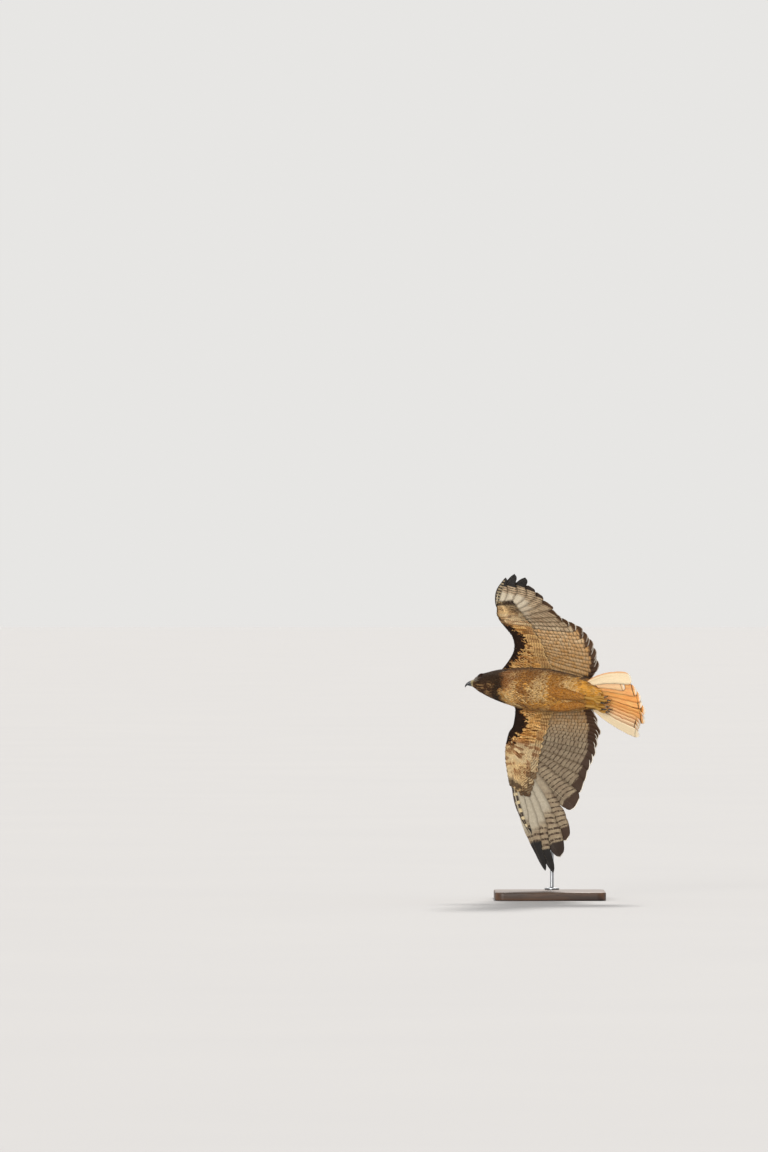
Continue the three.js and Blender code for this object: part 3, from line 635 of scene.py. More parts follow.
# Tail fan, from the left edge to the right
tailPaint = {
    # The vanes are painted lighter than the tail's own colours, partly as painted glow of light shining
    # through it
    "rufous": "f79a3c", "deep": "cc6c28", "light": "ffc064", "cream": "ffecc6", "edge": "e89a50",
    "bar": "4a2a18", "tip": "fbf2de", "upper": "a4532a", "upperLight": "bb6a36", "upperTip": "e6cfa6",
    "shaft": "e9cfa0", "upperShaft": "5c2f18",
    # for each feather: how strong the dark bar is, and how pale the vane, partly its own cream and partly
    # painted glow
    "barred": [0, 0.5, 0.9, 0.35, 0.85, 0.9, 0.4, 0.8, 0.3, 0.9, 0.8, 0.3],
    "pale": [0.95, 0.55, 0.2, 0.1, 0.15, 0.05, 0.1, 0.15, 0.3, 0.45, 0.7, 0.95],
}


def fanPlace(t):
    low = 0 if t > 0 else tailSet["rightDrop"]
    sag = lambda back: tailSet["arch"] * t * t * (back / tailSet["archAt"])
    return lambda back, left, up: onTail(back, left, up - sag(back) - low)


def fanLine(t, *reaches):
    # Places at distances along a tail feather's line. t is 1 at the fan's left edge and -1 at its right
    spread, root = (tailSet[key + ("Left" if t > 0 else "Right")] for key in ("spread", "root"))
    turn = math.radians(spread * t)
    way = np.array([math.cos(turn), math.sin(turn)])
    return [np.array([0, root * t]) + way * reach for reach in reaches]


def tailFinish():
    p = tailPaint
    m = Finish("tail_vane", Roughness=0.6, Specular_IOR_Level=0.3)
    along, toTip, web, top, lot = map(m.read, ("along", "toTip", "web", "topSide", "lot"))
    wide = abs(web)
    where = m.at(along * 0.02, web * 0.16, lot * 40.0)
    streak, fine = m.grain(1.6, 4.0, where), m.grain(7.0, 2.0, where)
    under = m.blend(m.step(streak, 0.35, 0.7), p["rufous"], p["light"])
    under = m.blend(m.step(wide, 3.0, 0.0) * 0.55, under, p["deep"])
    under = m.blend(m.read("paleShare"), under, p["cream"])
    under = m.blend(m.step(m.read("across"), 0.55, 0.8) * m.read("edgeShare"), under, p["edge"])
    colour = m.blend(top, under, m.blend(streak, p["upper"], p["upperLight"]))
    # One dark bar near the tip and a pale end
    ragged = (fine - 0.5) * 3.0
    toBar = abs(toTip + ragged + wide * 0.12 - 15.0)
    colour = m.blend(m.step(toBar, 2.4, 1.2) * m.read("barred"), colour, p["bar"])
    tip = m.step(toTip + ragged, 9.0, 4.5) * 0.9
    colour = m.blend(tip, colour, m.blend(top, p["tip"], p["upperTip"]))
    colour = m.shade(colour, m.step(fine, 0.2, 0.8, 0.88, 1.1))
    colour = m.blend(m.read("quill"), colour, m.blend(top, p["shaft"], p["upperShaft"]))
    m.feed(Base_Color=colour, Normal=featherBarbs(m, along, wide, 0.9, 5.2, 0.35, 0.0002))
    m.letThrough(0.12, colour)
    return m


def tailVanes():
    parts, count = [], len(tailSet["lengths"])
    for i, length in enumerate(tailSet["lengths"]):
        t = 1 - 2 * i / (count - 1)
        root, tip = fanLine(t, tailSet["rootBack"], length + tailSet["uneven"][i])
        values = {"lot": chance.random(), "barred": tailPaint["barred"][i], "paleShare": tailPaint["pale"][i],
                  "edgeShare": 0.7 * float(i == 0), "strip": (i, count)}
        feather = {"width": tailSet["width"], "front": mixed(0.5, 0.35, max(0, t)) + 0.15 * max(0, -t),
                   "bow": tailSet["bow"] * t, "tilt": tailSet["tiltLeft"] if t > 0 else -tailSet["tiltRight"],
                   "rootTilt": 0.05 if t > 0 else -0.07, "curl": 0.8, "thick": 0.6, "shaft": 1.4}
        parts += bigFeather(fanPlace(t), root, tip, "tail", feather, values)
    return parts


print("tail")
makePiece("tail_feathers", tailVanes(), tailFinish(), ["tail"])


# Small feathers: thin closed vanes with an arched top, from their roots to their tips

smallShapes = {
    "covert": [[0, 0.4], [0.2, 0.8], [0.45, 1], [0.72, 1], [0.87, 0.88], [0.95, 0.66], [0.985, 0.42],
               [1, 0.14]],
    "contour": [[0, 0.35], [0.25, 0.8], [0.55, 1], [0.8, 0.9], [0.94, 0.6], [1, 0.2]],
    "lance": [[0, 0.5], [0.35, 1], [0.7, 0.66], [1, 0.05]],
}
vaneRings = {
    "fine": [[-1, 0], [-0.5, 0.72], [0, 1], [0.5, 0.72], [1, 0], [0, 0.62]],
    "plain": [[-1, 0], [0, 1], [1, 0], [0, 0.35]],
}
smallMake = {
    "skew": 0.09, "flatter": 0.35, "liftCurve": 1.6, "roundEnd": 0.07,
    # the vanes are shaded nearly as the coat they lie in, so that it looks soft
    "sideShade": 0.55, "endShade": 0.3, "patch": 0.0015,
}


def mottled(points, size, seed):
    # Soft blotches over the bird, from about -1 to 1: waves of many directions added up
    waves = np.random.default_rng(seed)
    total = np.zeros(len(points))
    for k in range(12):
        way = unit(waves.normal(size=3)) * 2 * np.pi / (size * waves.uniform(0.7, 1.7))
        total += np.sin(points @ way + waves.uniform(0, 6.28))
    return total / 3.4


def smallFeathers(root, tip, up, width, arch, lift, shape, ring, patch, values, fray=0.05):
    # root, tip and up are places and directions in the bird's frame. patch is where each root lies on
    # the flattened skin, and fray is how uneven the ends are
    look, count = smallMake, len(root)
    length = np.linalg.norm(tip - root, axis=1)
    along = unit(tip - root)
    side = unit(np.cross(up, along))
    up = np.cross(along, side)
    t, share = np.array(smallShapes[shape]).T
    ring = np.array(vaneRings[ring], float)
    rows, columns = len(t), len(ring)
    skew = (chance.normal(0, look["skew"], count) * length)[:, None, None]
    fray = chance.normal(0, fray, (count, 1, columns))
    # From here each array runs over the feathers, the rows along them and the columns round them
    width, arch, lift = (spreadOut(v, count)[:, None, None] for v in (width, arch, lift))
    length, t, share = length[:, None, None], t[None, :, None], share[None, :, None]
    beside, above = ring[:, 0], ring[:, 1]
    offset = beside * share / 2 * width + skew * t**2
    height = above * (share * (1 - look["flatter"] * t)) * arch + lift * t ** look["liftCurve"]
    reach = length * t + fray * length * t**3 - look["roundEnd"] * (length * t**3) * beside**2
    root, along, side, up = (v[:, None, None] for v in (root, along, side, up))
    points = root + along * reach[..., None] + side * offset[..., None] + up * height[..., None]
    tops = np.where(np.arange(columns) < columns - 1, 1.0, -1.0)[:, None]
    facing = up * tops + look["sideShade"] * side * ring[:, :1]
    facing = facing + look["endShade"] * along * (t[..., None] - 0.4)
    faces = gridFaces(rows, columns)[None] + (np.arange(count) * rows * columns)[:, None, None]
    size = (count, rows, columns)
    u = patch[:, 0, None, None] + look["patch"] * beside
    v = patch[:, 1, None, None] + 2 * look["patch"] * (t - 0.5)
    own = {
        "along": spreadOut(t, *size), "length": spreadOut(length * t, *size),
        "across": spreadOut(beside, *size),
        "facing": unit(np.broadcast_to(facing, (*size, 3)).reshape(-1, 3)),
        "patch": np.stack([spreadOut(u, *size), spreadOut(v, *size)], -1),
    }
    for key, value in values.items():
        each = np.broadcast_to(np.asarray(value, float), (count, 3) if np.ndim(value) == 2 else count)
        own[key] = np.repeat(each, rows * columns, axis=0)
    return {"points": points.reshape(-1, 3), "faces": faces.reshape(-1, 4), "values": own}


coatPaint = {"streak": "502a0e", "bars": "54351f", "fringe": "e8c994"}


def coatFinish(name, glow):
    p = coatPaint
    m = Finish(name, Roughness=0.85, Specular_IOR_Level=0.08, Sheen_Weight=0.03, Sheen_Roughness=0.6)
    along, across, length, lot = map(m.read, ("along", "across", "length", "lot"))
    wide = abs(across)
    cloud = m.grain(1.0, 3.0, m.at(length * 0.25, across * 1.4, lot * 60.0))
    colour = m.shade(m.read("tint", "Color"), m.step(cloud * 0.6 + lot * 0.4, 0.15, 0.85, 0.74, 1.22))
    # A dark streak down the middle, bars, a pale fringe, and shade at the root
    streak = m.step(wide + (cloud - 0.5) * 0.7, 0.62, 0.12) * m.step(along, 0.25, 0.6) * m.read("streak")
    colour = m.blend(streak, colour, p["streak"])
    wave = abs(((length + wide * 0.9) / m.read("barPitch") + lot).calc("FRACT") - 0.5)
    colour = m.blend(m.step(wave, 0.27, 0.38) * m.read("bars"), colour, p["bars"])
    fringe = m.step(wide, 0.62, 0.95).calc("MAXIMUM", m.step(along, 0.8, 0.97)) * m.read("fringe")
    colour = m.shade(m.blend(fringe, colour, p["fringe"]), m.step(along, 0.3, 0.0, 1.0, 0.82))
    m.feed(Base_Color=colour, Normal=featherBarbs(m, length, wide, 2.2, 15.0, 0.16, 0.0001))
    m.letThrough(glow, colour)
    return m


def skinFinish():
    m = Finish("feathered_skin", Roughness=0.8, Specular_IOR_Level=0.2)
    cloud = m.grain(260.0, 4.0)
    m.feed(Base_Color=m.shade(m.read("tint", "Color"), m.step(cloud, 0.25, 0.75, 0.55, 0.9)))
    m.feed(Normal=m.bump(cloud, 0.5, 0.0006))
    return m


# Colours of the body, the same for skin and coat

bodyPaint = {
    "back": "48342a", "backPale": "6f543f", "rump": "a05f35", "rufous": "8a4f28", "golden": "d29440",
    "belly": "cc8f38", "vent": "c38931", "brown": "704018", "cream": "efd294", "head": "1d140d",
    "crown": "6a4e38", "cheek": "35251a", "throat": "c09765", "lore": "a3988b", "moustache": "22170f",
    "brow": "1f1510", "trousers": "a96f25", "trousersDark": "8e5720",
}
# Where the markings, the painted shade and the painted highlight lie along x, as from and to or as middle and
# reach
bodyMarks = {
    "rump": (-95, -140), "belly": (70, -10), "vent": (-50, -125), "plainVent": (-20, -90),
    "rufous": (118, 34), "leftFlankShade": (-115, -15), "belt": (30, 40), "brownChest": (-10, 60),
    "breast": (84, 46), "paleFlank": (-120, -20), "breastHighlight": (114, 15),
    "hood": (120, 139), "throat": (140, 168), "crown": (196, 160), "cheek": (150, 186),
    "stripeFrom": (168, 178), "stripeTo": (200, 193), "lore": (198, 204), "brow": (193, 13),
    "streaks": ((84, 44), (10, 60)), "bars": ((30, 44), (-44, 40)),
}
# And round the head, in degrees from the crown
faceMarks = {"moustache": (84, 10), "loreFrom": (34, 52), "loreTo": (112, 96), "brow": (42, 13)}


def bodyColours(x, turn):
    p, marks, face = bodyPaint, bodyMarks, faceMarks
    x, turn = np.broadcast_arrays(np.asarray(x, float), turn)
    at = onBody(x, turn)
    clouds, spots, fine = mottled(at, 58, 4), mottled(at, 17, 9), mottled(at, 7, 12)
    low, left = -np.sin(turn), np.cos(turn)
    below = ease(low, -0.25, 0.3)
    # The back is dark with paler edges, the rump redder
    up = painted(p["back"], p["backPale"], 0.55 * ease(spots + 0.5 * fine, -0.2, 1))
    up = painted(up, p["rump"], 0.7 * ease(x, *marks["rump"]))
    # Below it is golden and spotted brown, paler on the breast, with painted shade that makes the left flank
    # browner and a painted highlight low on the breast's right side
    under = painted(p["golden"], p["belly"], ease(x, *marks["belly"]))
    under = painted(under, p["vent"], 0.85 * ease(x, *marks["vent"]))
    rufous = ease(left + 0.5 * clouds, -0.25, 0.75) * hump(x, *marks["rufous"])
    under = painted(under, p["rufous"], 0.9 * rufous)
    # Painted shade: the left flank is browner and its cream fainter
    leftFlankShade = ease(left, -0.15, 0.95) * ease(x, *marks["leftFlankShade"])
    brown = spots + 0.55 * fine + leftFlankShade + 0.25 * hump(x, *marks["belt"])
    brown = ease(brown - 0.75 * ease(x, *marks["plainVent"]), 0.15, 0.95)
    brown = mixed(0.62, 0.78, ease(x, *marks["brownChest"])) * brown
    under = painted(under, p["brown"], brown)
    pale = ease(-spots + 0.6 * clouds - 0.4 * leftFlankShade, -0.1, 0.8)
    pale = pale * np.maximum(hump(x, *marks["breast"]), 0.55 * ease(x, *marks["paleFlank"]))
    # Painted highlight: the breast is paler low on its right side
    breastHighlight = hump(x, *marks["breastHighlight"]) * ease(low, 0.1, 0.6) * ease(left, 0.6, 0) * ease(fine, -0.9, 0.2)
    pale = np.maximum(pale, breastHighlight)
    under = painted(under, p["cream"], 0.75 * pale * (1 - 0.7 * rufous))
    # The dark head, with a paler crown edge that is partly painted light from above, a streaked throat, a
    # dark moustache, a grey lore and a dark brow
    wobble = 4 * np.sin(turn * 5) + 3 * np.sin(turn * 11 + 1) + 3 * fine
    head = ease(x + wobble, *marks["hood"])
    throat = ease(low, 0.42, 0.85) * ease(x, *marks["throat"])
    strands = ease(mottled(at * [0.25, 1, 1], 4.5, 31) + 0.4 * fine, 0.0, 0.8)
    fromTop = np.degrees(np.abs(np.arctan2(left, -low)))
    # The paler crown on top towards the nape is partly its own colour and partly painted light from above
    hood = painted(p["head"], p["crown"], 0.75 * ease(-low, 0.35, 0.95) * ease(x, *marks["crown"]))
    stripe = hump(fromTop, *face["moustache"]) * ease(x, *marks["stripeFrom"]) * ease(x, *marks["stripeTo"])
    lore = ease(x, *marks["lore"]) * ease(fromTop, *face["loreFrom"]) * ease(fromTop, *face["loreTo"])
    for name, share in (
        ("cheek", 0.6 * ease(low, -0.1, 0.3) * ease(x, *marks["cheek"])), ("throat", 0.66 * throat * strands),
        ("moustache", 0.7 * stripe), ("lore", 0.9 * lore),
        ("brow", 0.8 * (hump(fromTop, *face["brow"]) * hump(x, *marks["brow"]))),
    ):
        hood = painted(hood, p[name], share)
    plain = 1 - head
    chest, belly = (hump(x, *place) for place in marks["streaks"])
    flank, vent = (hump(x, *place) for place in marks["bars"])
    streak = plain * (below * (0.7 * chest + 0.4 * belly) + 0.12)
    return {
        "tint": painted(painted(up, under, below), hood, head),
        "streak": streak + (1 - plain) * (0.25 + 0.5 * throat),
        "bars": plain * below * (0.85 * flank + 0.7 * vent) * ease(clouds, -1.1, 0.2),
        "fringe": plain * np.where(below > 0.5, 0.26 * ease(clouds, -0.6, 0.6) + 0.1, 0.11) + 0.04,
    }


coat = {
    # x, length, width, distance to the next ring, distance round the ring
    "lie": [[-172, 42, 15, 7.4, 7.4], [-120, 33, 13, 6.4, 6.4], [-40, 27, 11, 5.2, 5.4],
            [60, 23, 9.5, 4.6, 4.9], [120, 18, 6.6, 3.5, 3.9], [150, 13, 4.0, 2.5, 2.8],
            [172, 9, 2.6, 1.9, 2.1], [192, 6, 1.8, 1.5, 1.6], [208, 4, 1.2, 1.2, 1.3]],
    "start": -170.0, "end": 208, "depth": (2.6, 1.0), "split": 116, "nape": 163,
    "eyeClear": (7.8, 7.7),  # how far roots and tips stay from the line of sight
    # the skin's rings along the body and round the bill's root
    "skinRings": ((-172, 150, 90), (151.5, 207.5, 44)), "skinEnds": (208.8, 209.4), "skinSides": 84,
}
# The eyes: middle, size, where they look, and the rims of iris and pupil in degrees from that line
eyeSet = {"x": 193, "out": 13.9, "up": 7.5, "radius": 8.0, "ahead": 0.27, "rise": 0.07,
          "iris": 43, "pupil": 20}


def coatDepth(x):
    # The depth of the coat over the skin
    return mixed(*coat["depth"], ease(x, 120, 172))


def bodyPatch(x, turn, wide=0.96):
    return np.stack([0.02 + wide * (turn / fullTurn % 1), 0.02 + 0.96 * (x + 172) / 380], -1)


def eyeMiddle(side):
    return onHead(eyeSet["x"], side * eyeSet["out"], eyeSet["up"])


def bodySkin():
    rings = [np.linspace(*span) for span in coat["skinRings"]]
    x, sides = np.concatenate([*rings, coat["skinEnds"]]), coat["skinSides"]
    gx, gt = pairsOf(x, turnsOf(sides))
    points = onBody(gx, gt, -coatDepth(gx)).reshape(len(x), sides, 3)
    for row, share in ((-1, 0.05), (-2, 0.75), (0, 0.05)):
        points[row] = mixed(points[row].mean(0), points[row], share)
    values = {"tint": bodyColours(gx, gt)["tint"], "patch": bodyPatch(gx, gt, 0.46)}
    return {"points": points.reshape(-1, 3), "faces": gridFaces(len(x), sides), "values": values}


def coatRoots():
    # Places in rings from the rump to the bill, each a little out of line
    xs, turns, x, k = [], [], coat["start"], 0
    while x < coat["end"]:
        step, apart = sampled(coat["lie"], x)[2:]
        ring = onBody(np.full(60, x), np.linspace(0, fullTurn, 60))
        count = max(8, int(np.linalg.norm(np.diff(ring, axis=0), axis=1).sum() / apart))
        uneven = chance.normal(0, 0.22 / count, count) * 2 * np.pi
        turns.append((np.arange(count) + 0.5 * (k % 2)) / count * 2 * np.pi + uneven)
        xs.append(np.full(count, x) + chance.normal(0, step * 0.2, count))
        x += step
        k += 1
    return np.clip(np.concatenate(xs), -171, 208.6), np.concatenate(turns)


def clearOf(x, turn, root, tip, length):
    # The eyes stay clear
    kept = np.ones(len(x), bool)
    for side in wingSides.values():
        axis = onHead(0.26, side * 0.96, 0.08)
        for ends, clear in zip((root, tip), coat["eyeClear"]):
            off = ends - eyeMiddle(side)
            ahead = off @ axis
            away = np.linalg.norm(off - ahead[:, None] * axis, axis=1)
            kept &= ~((away < clear) & (ahead > 0))
    # None lies across the tail's right edge, the lowest stay under the fan and the upper ones over it
    kept &= ~((x < -132) & (np.abs(np.sin(turn)) < 0.34) & (np.cos(turn) < 0))
    overFan = ((tip - tailSet["pivot"]) @ tailTurn)[:, 2]
    lower = np.sin(turn) < 0.05
    kept &= ~((x - length < -150) & lower & (overFan > -5))
    return kept & ~((x - length < -158) & ~lower & (overFan < 2.5))


def bodyCoat():
    x, turn = coatRoots()
    count = len(x)
    length, width = sampled(coat["lie"], x)[:, :2].T
    overRump = ease(x, -130, -160) * (np.sin(turn) > -0.05)
    length = length * chance.uniform(0.85, 1.12, count) * (1 - 0.42 * overRump)
    root = onBody(x, turn, -coatDepth(x) - 0.3)
    sway = chance.normal(0, 0.05, count)
    end = onBody(x - length * 0.96, turn + sway * length / 45, 0.1)
    past = x - length < -176
    end[past] = root[past] + unit(onBody(x[past] - 6, turn[past], -2.0) - root[past]) * length[past, None]
    tip = root + unit(end - root) * length[:, None]
    around = onBody(x, turn + 0.02) - onBody(x, turn - 0.02)
    backwards = onBody(x - 1.5, turn) - onBody(x + 1.5, turn)
    up = unit(np.cross(backwards, around))
    up *= np.sign((up * (root - onBody(x, turn + np.pi))).sum(1))[:, None]
    # The feathers lie unevenly
    tip = tip + unit(around) * (chance.normal(0, 0.09, count) * length)[:, None]
    clear = clearOf(x, turn, root, tip, length)
    looks = bodyColours(x, turn)
    looks |= {"lot": chance.random(count), "barPitch": mixed(3.4, 2.4, ease(x, 60, 140))}
    made, limits = {}, [-999, coat["split"], coat["nape"], 999]
    for name, first, last in zip(("body", "neck", "head"), limits, limits[1:]):
        chosen = clear & (x >= first) & (x < last)
        picked = {key: value[chosen] for key, value in looks.items()}
        places = (v[chosen] for v in (root, tip, up, width, 0.055 * width + 0.1, 0.015 * length))
        made[name] = smallFeathers(*places, "contour", "plain", bodyPatch(x, turn)[chosen], picked, 0.09)
    return made


# Coverts of the wings

wingCore = [[30, 130, 12, 13], [80, 104, 11, 11], [130, 78, 9, 9], [175, 60, 8.5, 8.5], [200, 56, 8, 8.5],
            [215, 50, 7, 8], [255, 34, 5, 6], [300, 20, 3, 3], [340, 8, 1.2, 1.2]]
coverts = {
    # s and x of the line that the greater coverts' tips reach
    "tipLine": [[28, -26], [60, -9], [117, 12], [160, 30], [229, 43], [285, 47], [338, 54], [360, 60]],
    # where the hand's coverts end: x and s
    "end": [[40, 352], [56, 346], [82, 330], [113, 314], [150, 300]],
    # for each row from the leading edge: share of the depth its tips reach, length, width
    "rows": [[0.05, 8, 4.6], [0.085, 10, 5], [0.125, 13, 5.6], [0.17, 15, 6.2], [0.22, 18, 7],
             [0.275, 21, 7.6], [0.335, 24, 8.4], [0.4, 27, 9.4], [0.475, 30, 10.6], [0.56, 34, 12],
             [0.665, 38, 14], [0.8, 43, 16.5], [1.0, 49, 19]],
    "from": 30, "reach": 326, "overQuills": 2.2, "underQuills": 5.2, "lip": 1.5,
    "skinTo": 298, "skinRows": 60, "skinSides": 40,
}
# How each underwing differs: how far painted light and shade lighten or darken arm and wrist, how brown the
# wrist is, and how far out the dark patch goes
underWings = {"left": {"arm": 1, "wrist": 1.38, "blotch": 0.5, "patchTo": 188},
              "right": {"arm": 1.25, "wrist": 0.88, "blotch": 0.72, "patchTo": 200}}


def coreThickness(share):
    return 0.35 + 0.85 * share


def coreHeight(word, s, x, below):
    depth, above, under = sampled(wingCore, s).T
    u = np.clip((leadingEdge(word, s) - x) / depth, 0, 1)
    return 2 * np.sqrt(u * (1 - u)) * coreThickness(1 - u) * (under if below else above)


def quillFlow(word, s, x):
    # Which way the quills near a place point
    at = np.stack([s, x], -1)
    total = np.zeros_like(at)
    for q in quills(word):
        line = q["tip"] - q["root"]
        t = np.clip(((at - q["root"]) @ line) / (line @ line), -0.4, 1)
        away = np.linalg.norm(at - (q["root"] + t[:, None] * line), axis=1)
        total += (line / np.linalg.norm(line)) * np.exp(-((away / 24) ** 2))[:, None] + 1e-9 * line
    return unit(total)


covertPaint = {
    "patch": "20150f", "golden": "cf9a54", "rufous": "9a5c2c", "gold": "e2b878", "cream": "dcc296",
    "comma": "382b24", "rear": "b6986a", "ashy": "a69678", "edge": "a08b6c", "wristBrown": "6a4529",
    "wristRufous": "945a30", "mantle": "4d3728", "mantlePale": "6f5540", "hand": "3e2d21",
}
# Where the markings of the underwing lie along s, or by the depth behind the leading edge: from and to,
# or middle and reach
underMarks = {
    "wrist": (174, 196), "blotches": (300, 272), "blotchDepth": (48, 26), "brown": (192, 20),
    "brownDepth": (60, 24), "rearRows": (170, 240), "ashy": (150, 235), "rufousRear": (208, 34),
    "patch": (26, 34), "patchBulge": (134, 38), "behindPatch": (22, 34), "behindEnd": (200, 184),
    "streaksEnd": (340, 300), "armBars": (40, 70), "handBars": (246, 268), "darkEdge": (200, 214),
    "commaTip": (258, 286),
}


def underCoverts(word, s, x, depthShare):
    p, wing, marks, n = covertPaint, underWings[word], underMarks, len(s)
    d = leadingEdge(word, s) - x
    luck, luck2 = chance.random(n), chance.random(n)
    # Blotches are longer from front to back than along the wing
    laid = np.stack([s, 0.45 * x, np.zeros(n)], -1)
    clouds, spots = mottled(laid, 40, 21), mottled(laid, 12, 22)
    pastWrist = ease(s, *marks["wrist"])
    arm = painted(p["golden"], p["rufous"], 0.6 * ease(spots + 0.7 * luck, 0.1, 1.3))
    # The wing's arm factor lightens or darkens the arm: painted light and shade
    arm = painted(arm, p["gold"], 0.6 * ease(-spots + 0.5 * clouds + 0.5 * luck2, 0, 1.1)) * wing["arm"]
    blotch = ease(spots + 0.25 * luck + 0.6 * hump(d, *marks["blotchDepth"]) - 0.1, 0.1, 0.8)
    blotch = blotch * ease(s, *marks["blotches"])
    wrist = painted(p["cream"], p["gold"], 0.5 * ease(clouds, -0.5, 0.6))
    wrist = painted(wrist, p["wristRufous"], wing["blotch"] * blotch)
    brown = ease(spots + 0.4 * luck2, -0.1, 0.7) * hump(s, *marks["brown"]) * ease(d, *marks["brownDepth"])
    # The wing's wrist factor lightens or darkens the wrist: painted light and shade
    wrist = painted(wrist, p["wristBrown"], 0.75 * brown) * wing["wrist"]
    # The rear rows are ashy outwards, and rufous behind the wrist
    toRear = ease(depthShare, mixed(0.86, 0.66, ease(s, *marks["rearRows"])), 1.08)
    rear = painted(p["rear"], p["ashy"], ease(s, *marks["ashy"]))
    rufous = 0.6 * hump(s, *marks["rufousRear"]) * ease(spots + luck, -0.5, 0.8)
    rear = painted(rear, p["wristRufous"], rufous)
    # The dark patch in front of the arm, and the dark comma past the wrist
    limit = 22 + 25 * hump(s, *marks["patchBulge"]) + 22 * (luck2 - 0.5) + 6 * spots
    last = wing["patchTo"]
    patch = ease(limit - d, -7, 4) * ease(s, *marks["patch"]) * ease(s, last + 8 * luck, last - 14 + 8 * luck)
    end = sampled(coverts["end"], x)[:, 0]
    comma = ease(s, end - 28, end - 17) * ease(x, 128, 112) * ease(spots + luck, -1.3, -0.5)
    hook = ease(x, 78, 62) * ease(s, *marks["commaTip"]) * ease(spots + luck, -0.6, 0.4)
    comma = np.maximum(comma, 0.8 * hook)
    colour = painted(arm, wrist, pastWrist)
    colour = painted(colour, rear, toRear * 0.8)
    for name, share in (
        ("rufous", 0.9 * ease(patch, 0, 0.4)),
        ("patch", 0.98 * ease(patch, 0.2, 0.8)),
        ("comma", comma * 0.9),
        ("edge", ease(5 - d, -2, 2) * (1 - patch) * 0.5),
        ("comma", 0.85 * ease(4.5 - d, -1, 1) * ease(s, *marks["darkEdge"])),
    ):
        colour = painted(colour, p[name], share)
    behindPatch = ease(limit + 34 * luck2 - d, -9, 9) * ease(s, *marks["behindPatch"])
    behindPatch = behindPatch * ease(s, *marks["behindEnd"]) * (luck < 0.65)
    onArm, onWrist = np.maximum(0.25 + 0.75 * luck2, behindPatch), 0.1 + 0.5 * blotch + 0.3 * (luck > 0.7)
    streak = mixed(onArm, onWrist, pastWrist) * ease(s, *marks["streaksEnd"]) * mixed(1, 0.5, toRear)
    streak = streak * (1 - patch) + 3 * patch * (1 - patch)
    bars = np.maximum(toRear * 0.8, 0.4 * ease(depthShare, 0.4, 0.65) * ease(s, *marks["armBars"]))
    bars = np.maximum(bars, 0.9 * ease(s, *marks["handBars"]) * ease(depthShare, 0.35, 0.6))
    return {
        "tint": colour, "streak": np.clip(streak, 0, 1), "bars": np.clip(bars, 0, 1) * (1 - patch),
        "fringe": 0.22 * (1 - patch) * (1 - comma), "lot": luck,
        "barPitch": mixed(5.4, 7.2, ease(depthShare, 0.6, 1)),
    }


def upperCoverts(word, s, x, depthShare):
    p, luck = covertPaint, chance.random(len(s))
    colour = painted(p["mantle"], p["mantlePale"], 0.45 * ease(luck, 0.4, 1))
    return {
        "tint": painted(colour, p["hand"], ease(s, 190, 240) * 0.7), "streak": 0.35, "barPitch": 8,
        "bars": 0.45 * ease(depthShare, 0.6, 0.9), "fringe": 0.16 * ease(luck, 0.3, 0.9), "lot": luck,
    }


def wingCoverts(word, side, below):
    # Rows from the leading edge back, on the underside or on top
    face = -1 if below else 1
    placed = []
    for k, (share, length, width) in enumerate(coverts["rows"]):
        count = int(coverts["reach"] / (width * 0.5))
        s = coverts["from"] + coverts["reach"] * (np.arange(count) + 0.5 * (k % 2)) / count
        s = s + chance.normal(0, width * 0.06, count)
        share = np.clip(share + chance.normal(0, 0.012, count), 0.03, 1.02)
        length = length * chance.uniform(0.9, 1.1, count) * mixed(1, 0.72, ease(s, 250, 345))
        placed.append([s, share, length, width * mixed(1, 0.8, ease(s, 250, 345))])
    s, share, length, width = np.concatenate(placed, 1)
    front = leadingEdge(word, s)
    x = front - share * (front - sampled(coverts["tipLine"], s)[:, 0])
    keep = s < sampled(coverts["end"], x)[:, 0] + chance.normal(0, 2, len(s))
    s, x, share, length, width = (v[keep] for v in (s, x, share, length, width))
    # They lie as the quills do, and those in front lean back over the edge
    lean = ease(share, 0.35, 0.05) * ease(s, 330, 240)
    flow = unit(quillFlow(word, s, x) + np.array([0, -0.75]) * lean[:, None])
    flow = unit(flow + chance.normal(0, 0.05, flow.shape))
    rootS, rootX = s - flow[:, 0] * length, x - flow[:, 1] * length
    lip = leadingEdge(word, np.clip(rootS, 30, 360)) - coverts["lip"]
    rootH = np.maximum(coreHeight(word, rootS, np.minimum(rootX, lip), below), 0) - 0.8
    rootH = np.where(rootX > lip, np.maximum(rootH - 1.5, -1), rootH)
    over = coverts["underQuills" if below else "overQuills"]
    tipH = np.maximum(coreHeight(word, s, x, below) + 0.7, over * ease(share, 0.1, 0.5))
    root, tip = onWing(side, rootS, np.minimum(rootX, lip), face * rootH), onWing(side, s, x, face * tipH)
    up = face * unit(onWing(side, s, x, 10) - onWing(side, s, x, 0))
    looks = (underCoverts if below else upperCoverts)(word, s, x, share)
    patch = np.stack([0.02 + 0.96 * (s - 20) / 350, 0.02 + 0.96 * (x + 30) / 190], -1)
    return smallFeathers(root, tip, up, width, 0.07 * width, 0.3, "covert", "fine", patch, looks, 0.018)


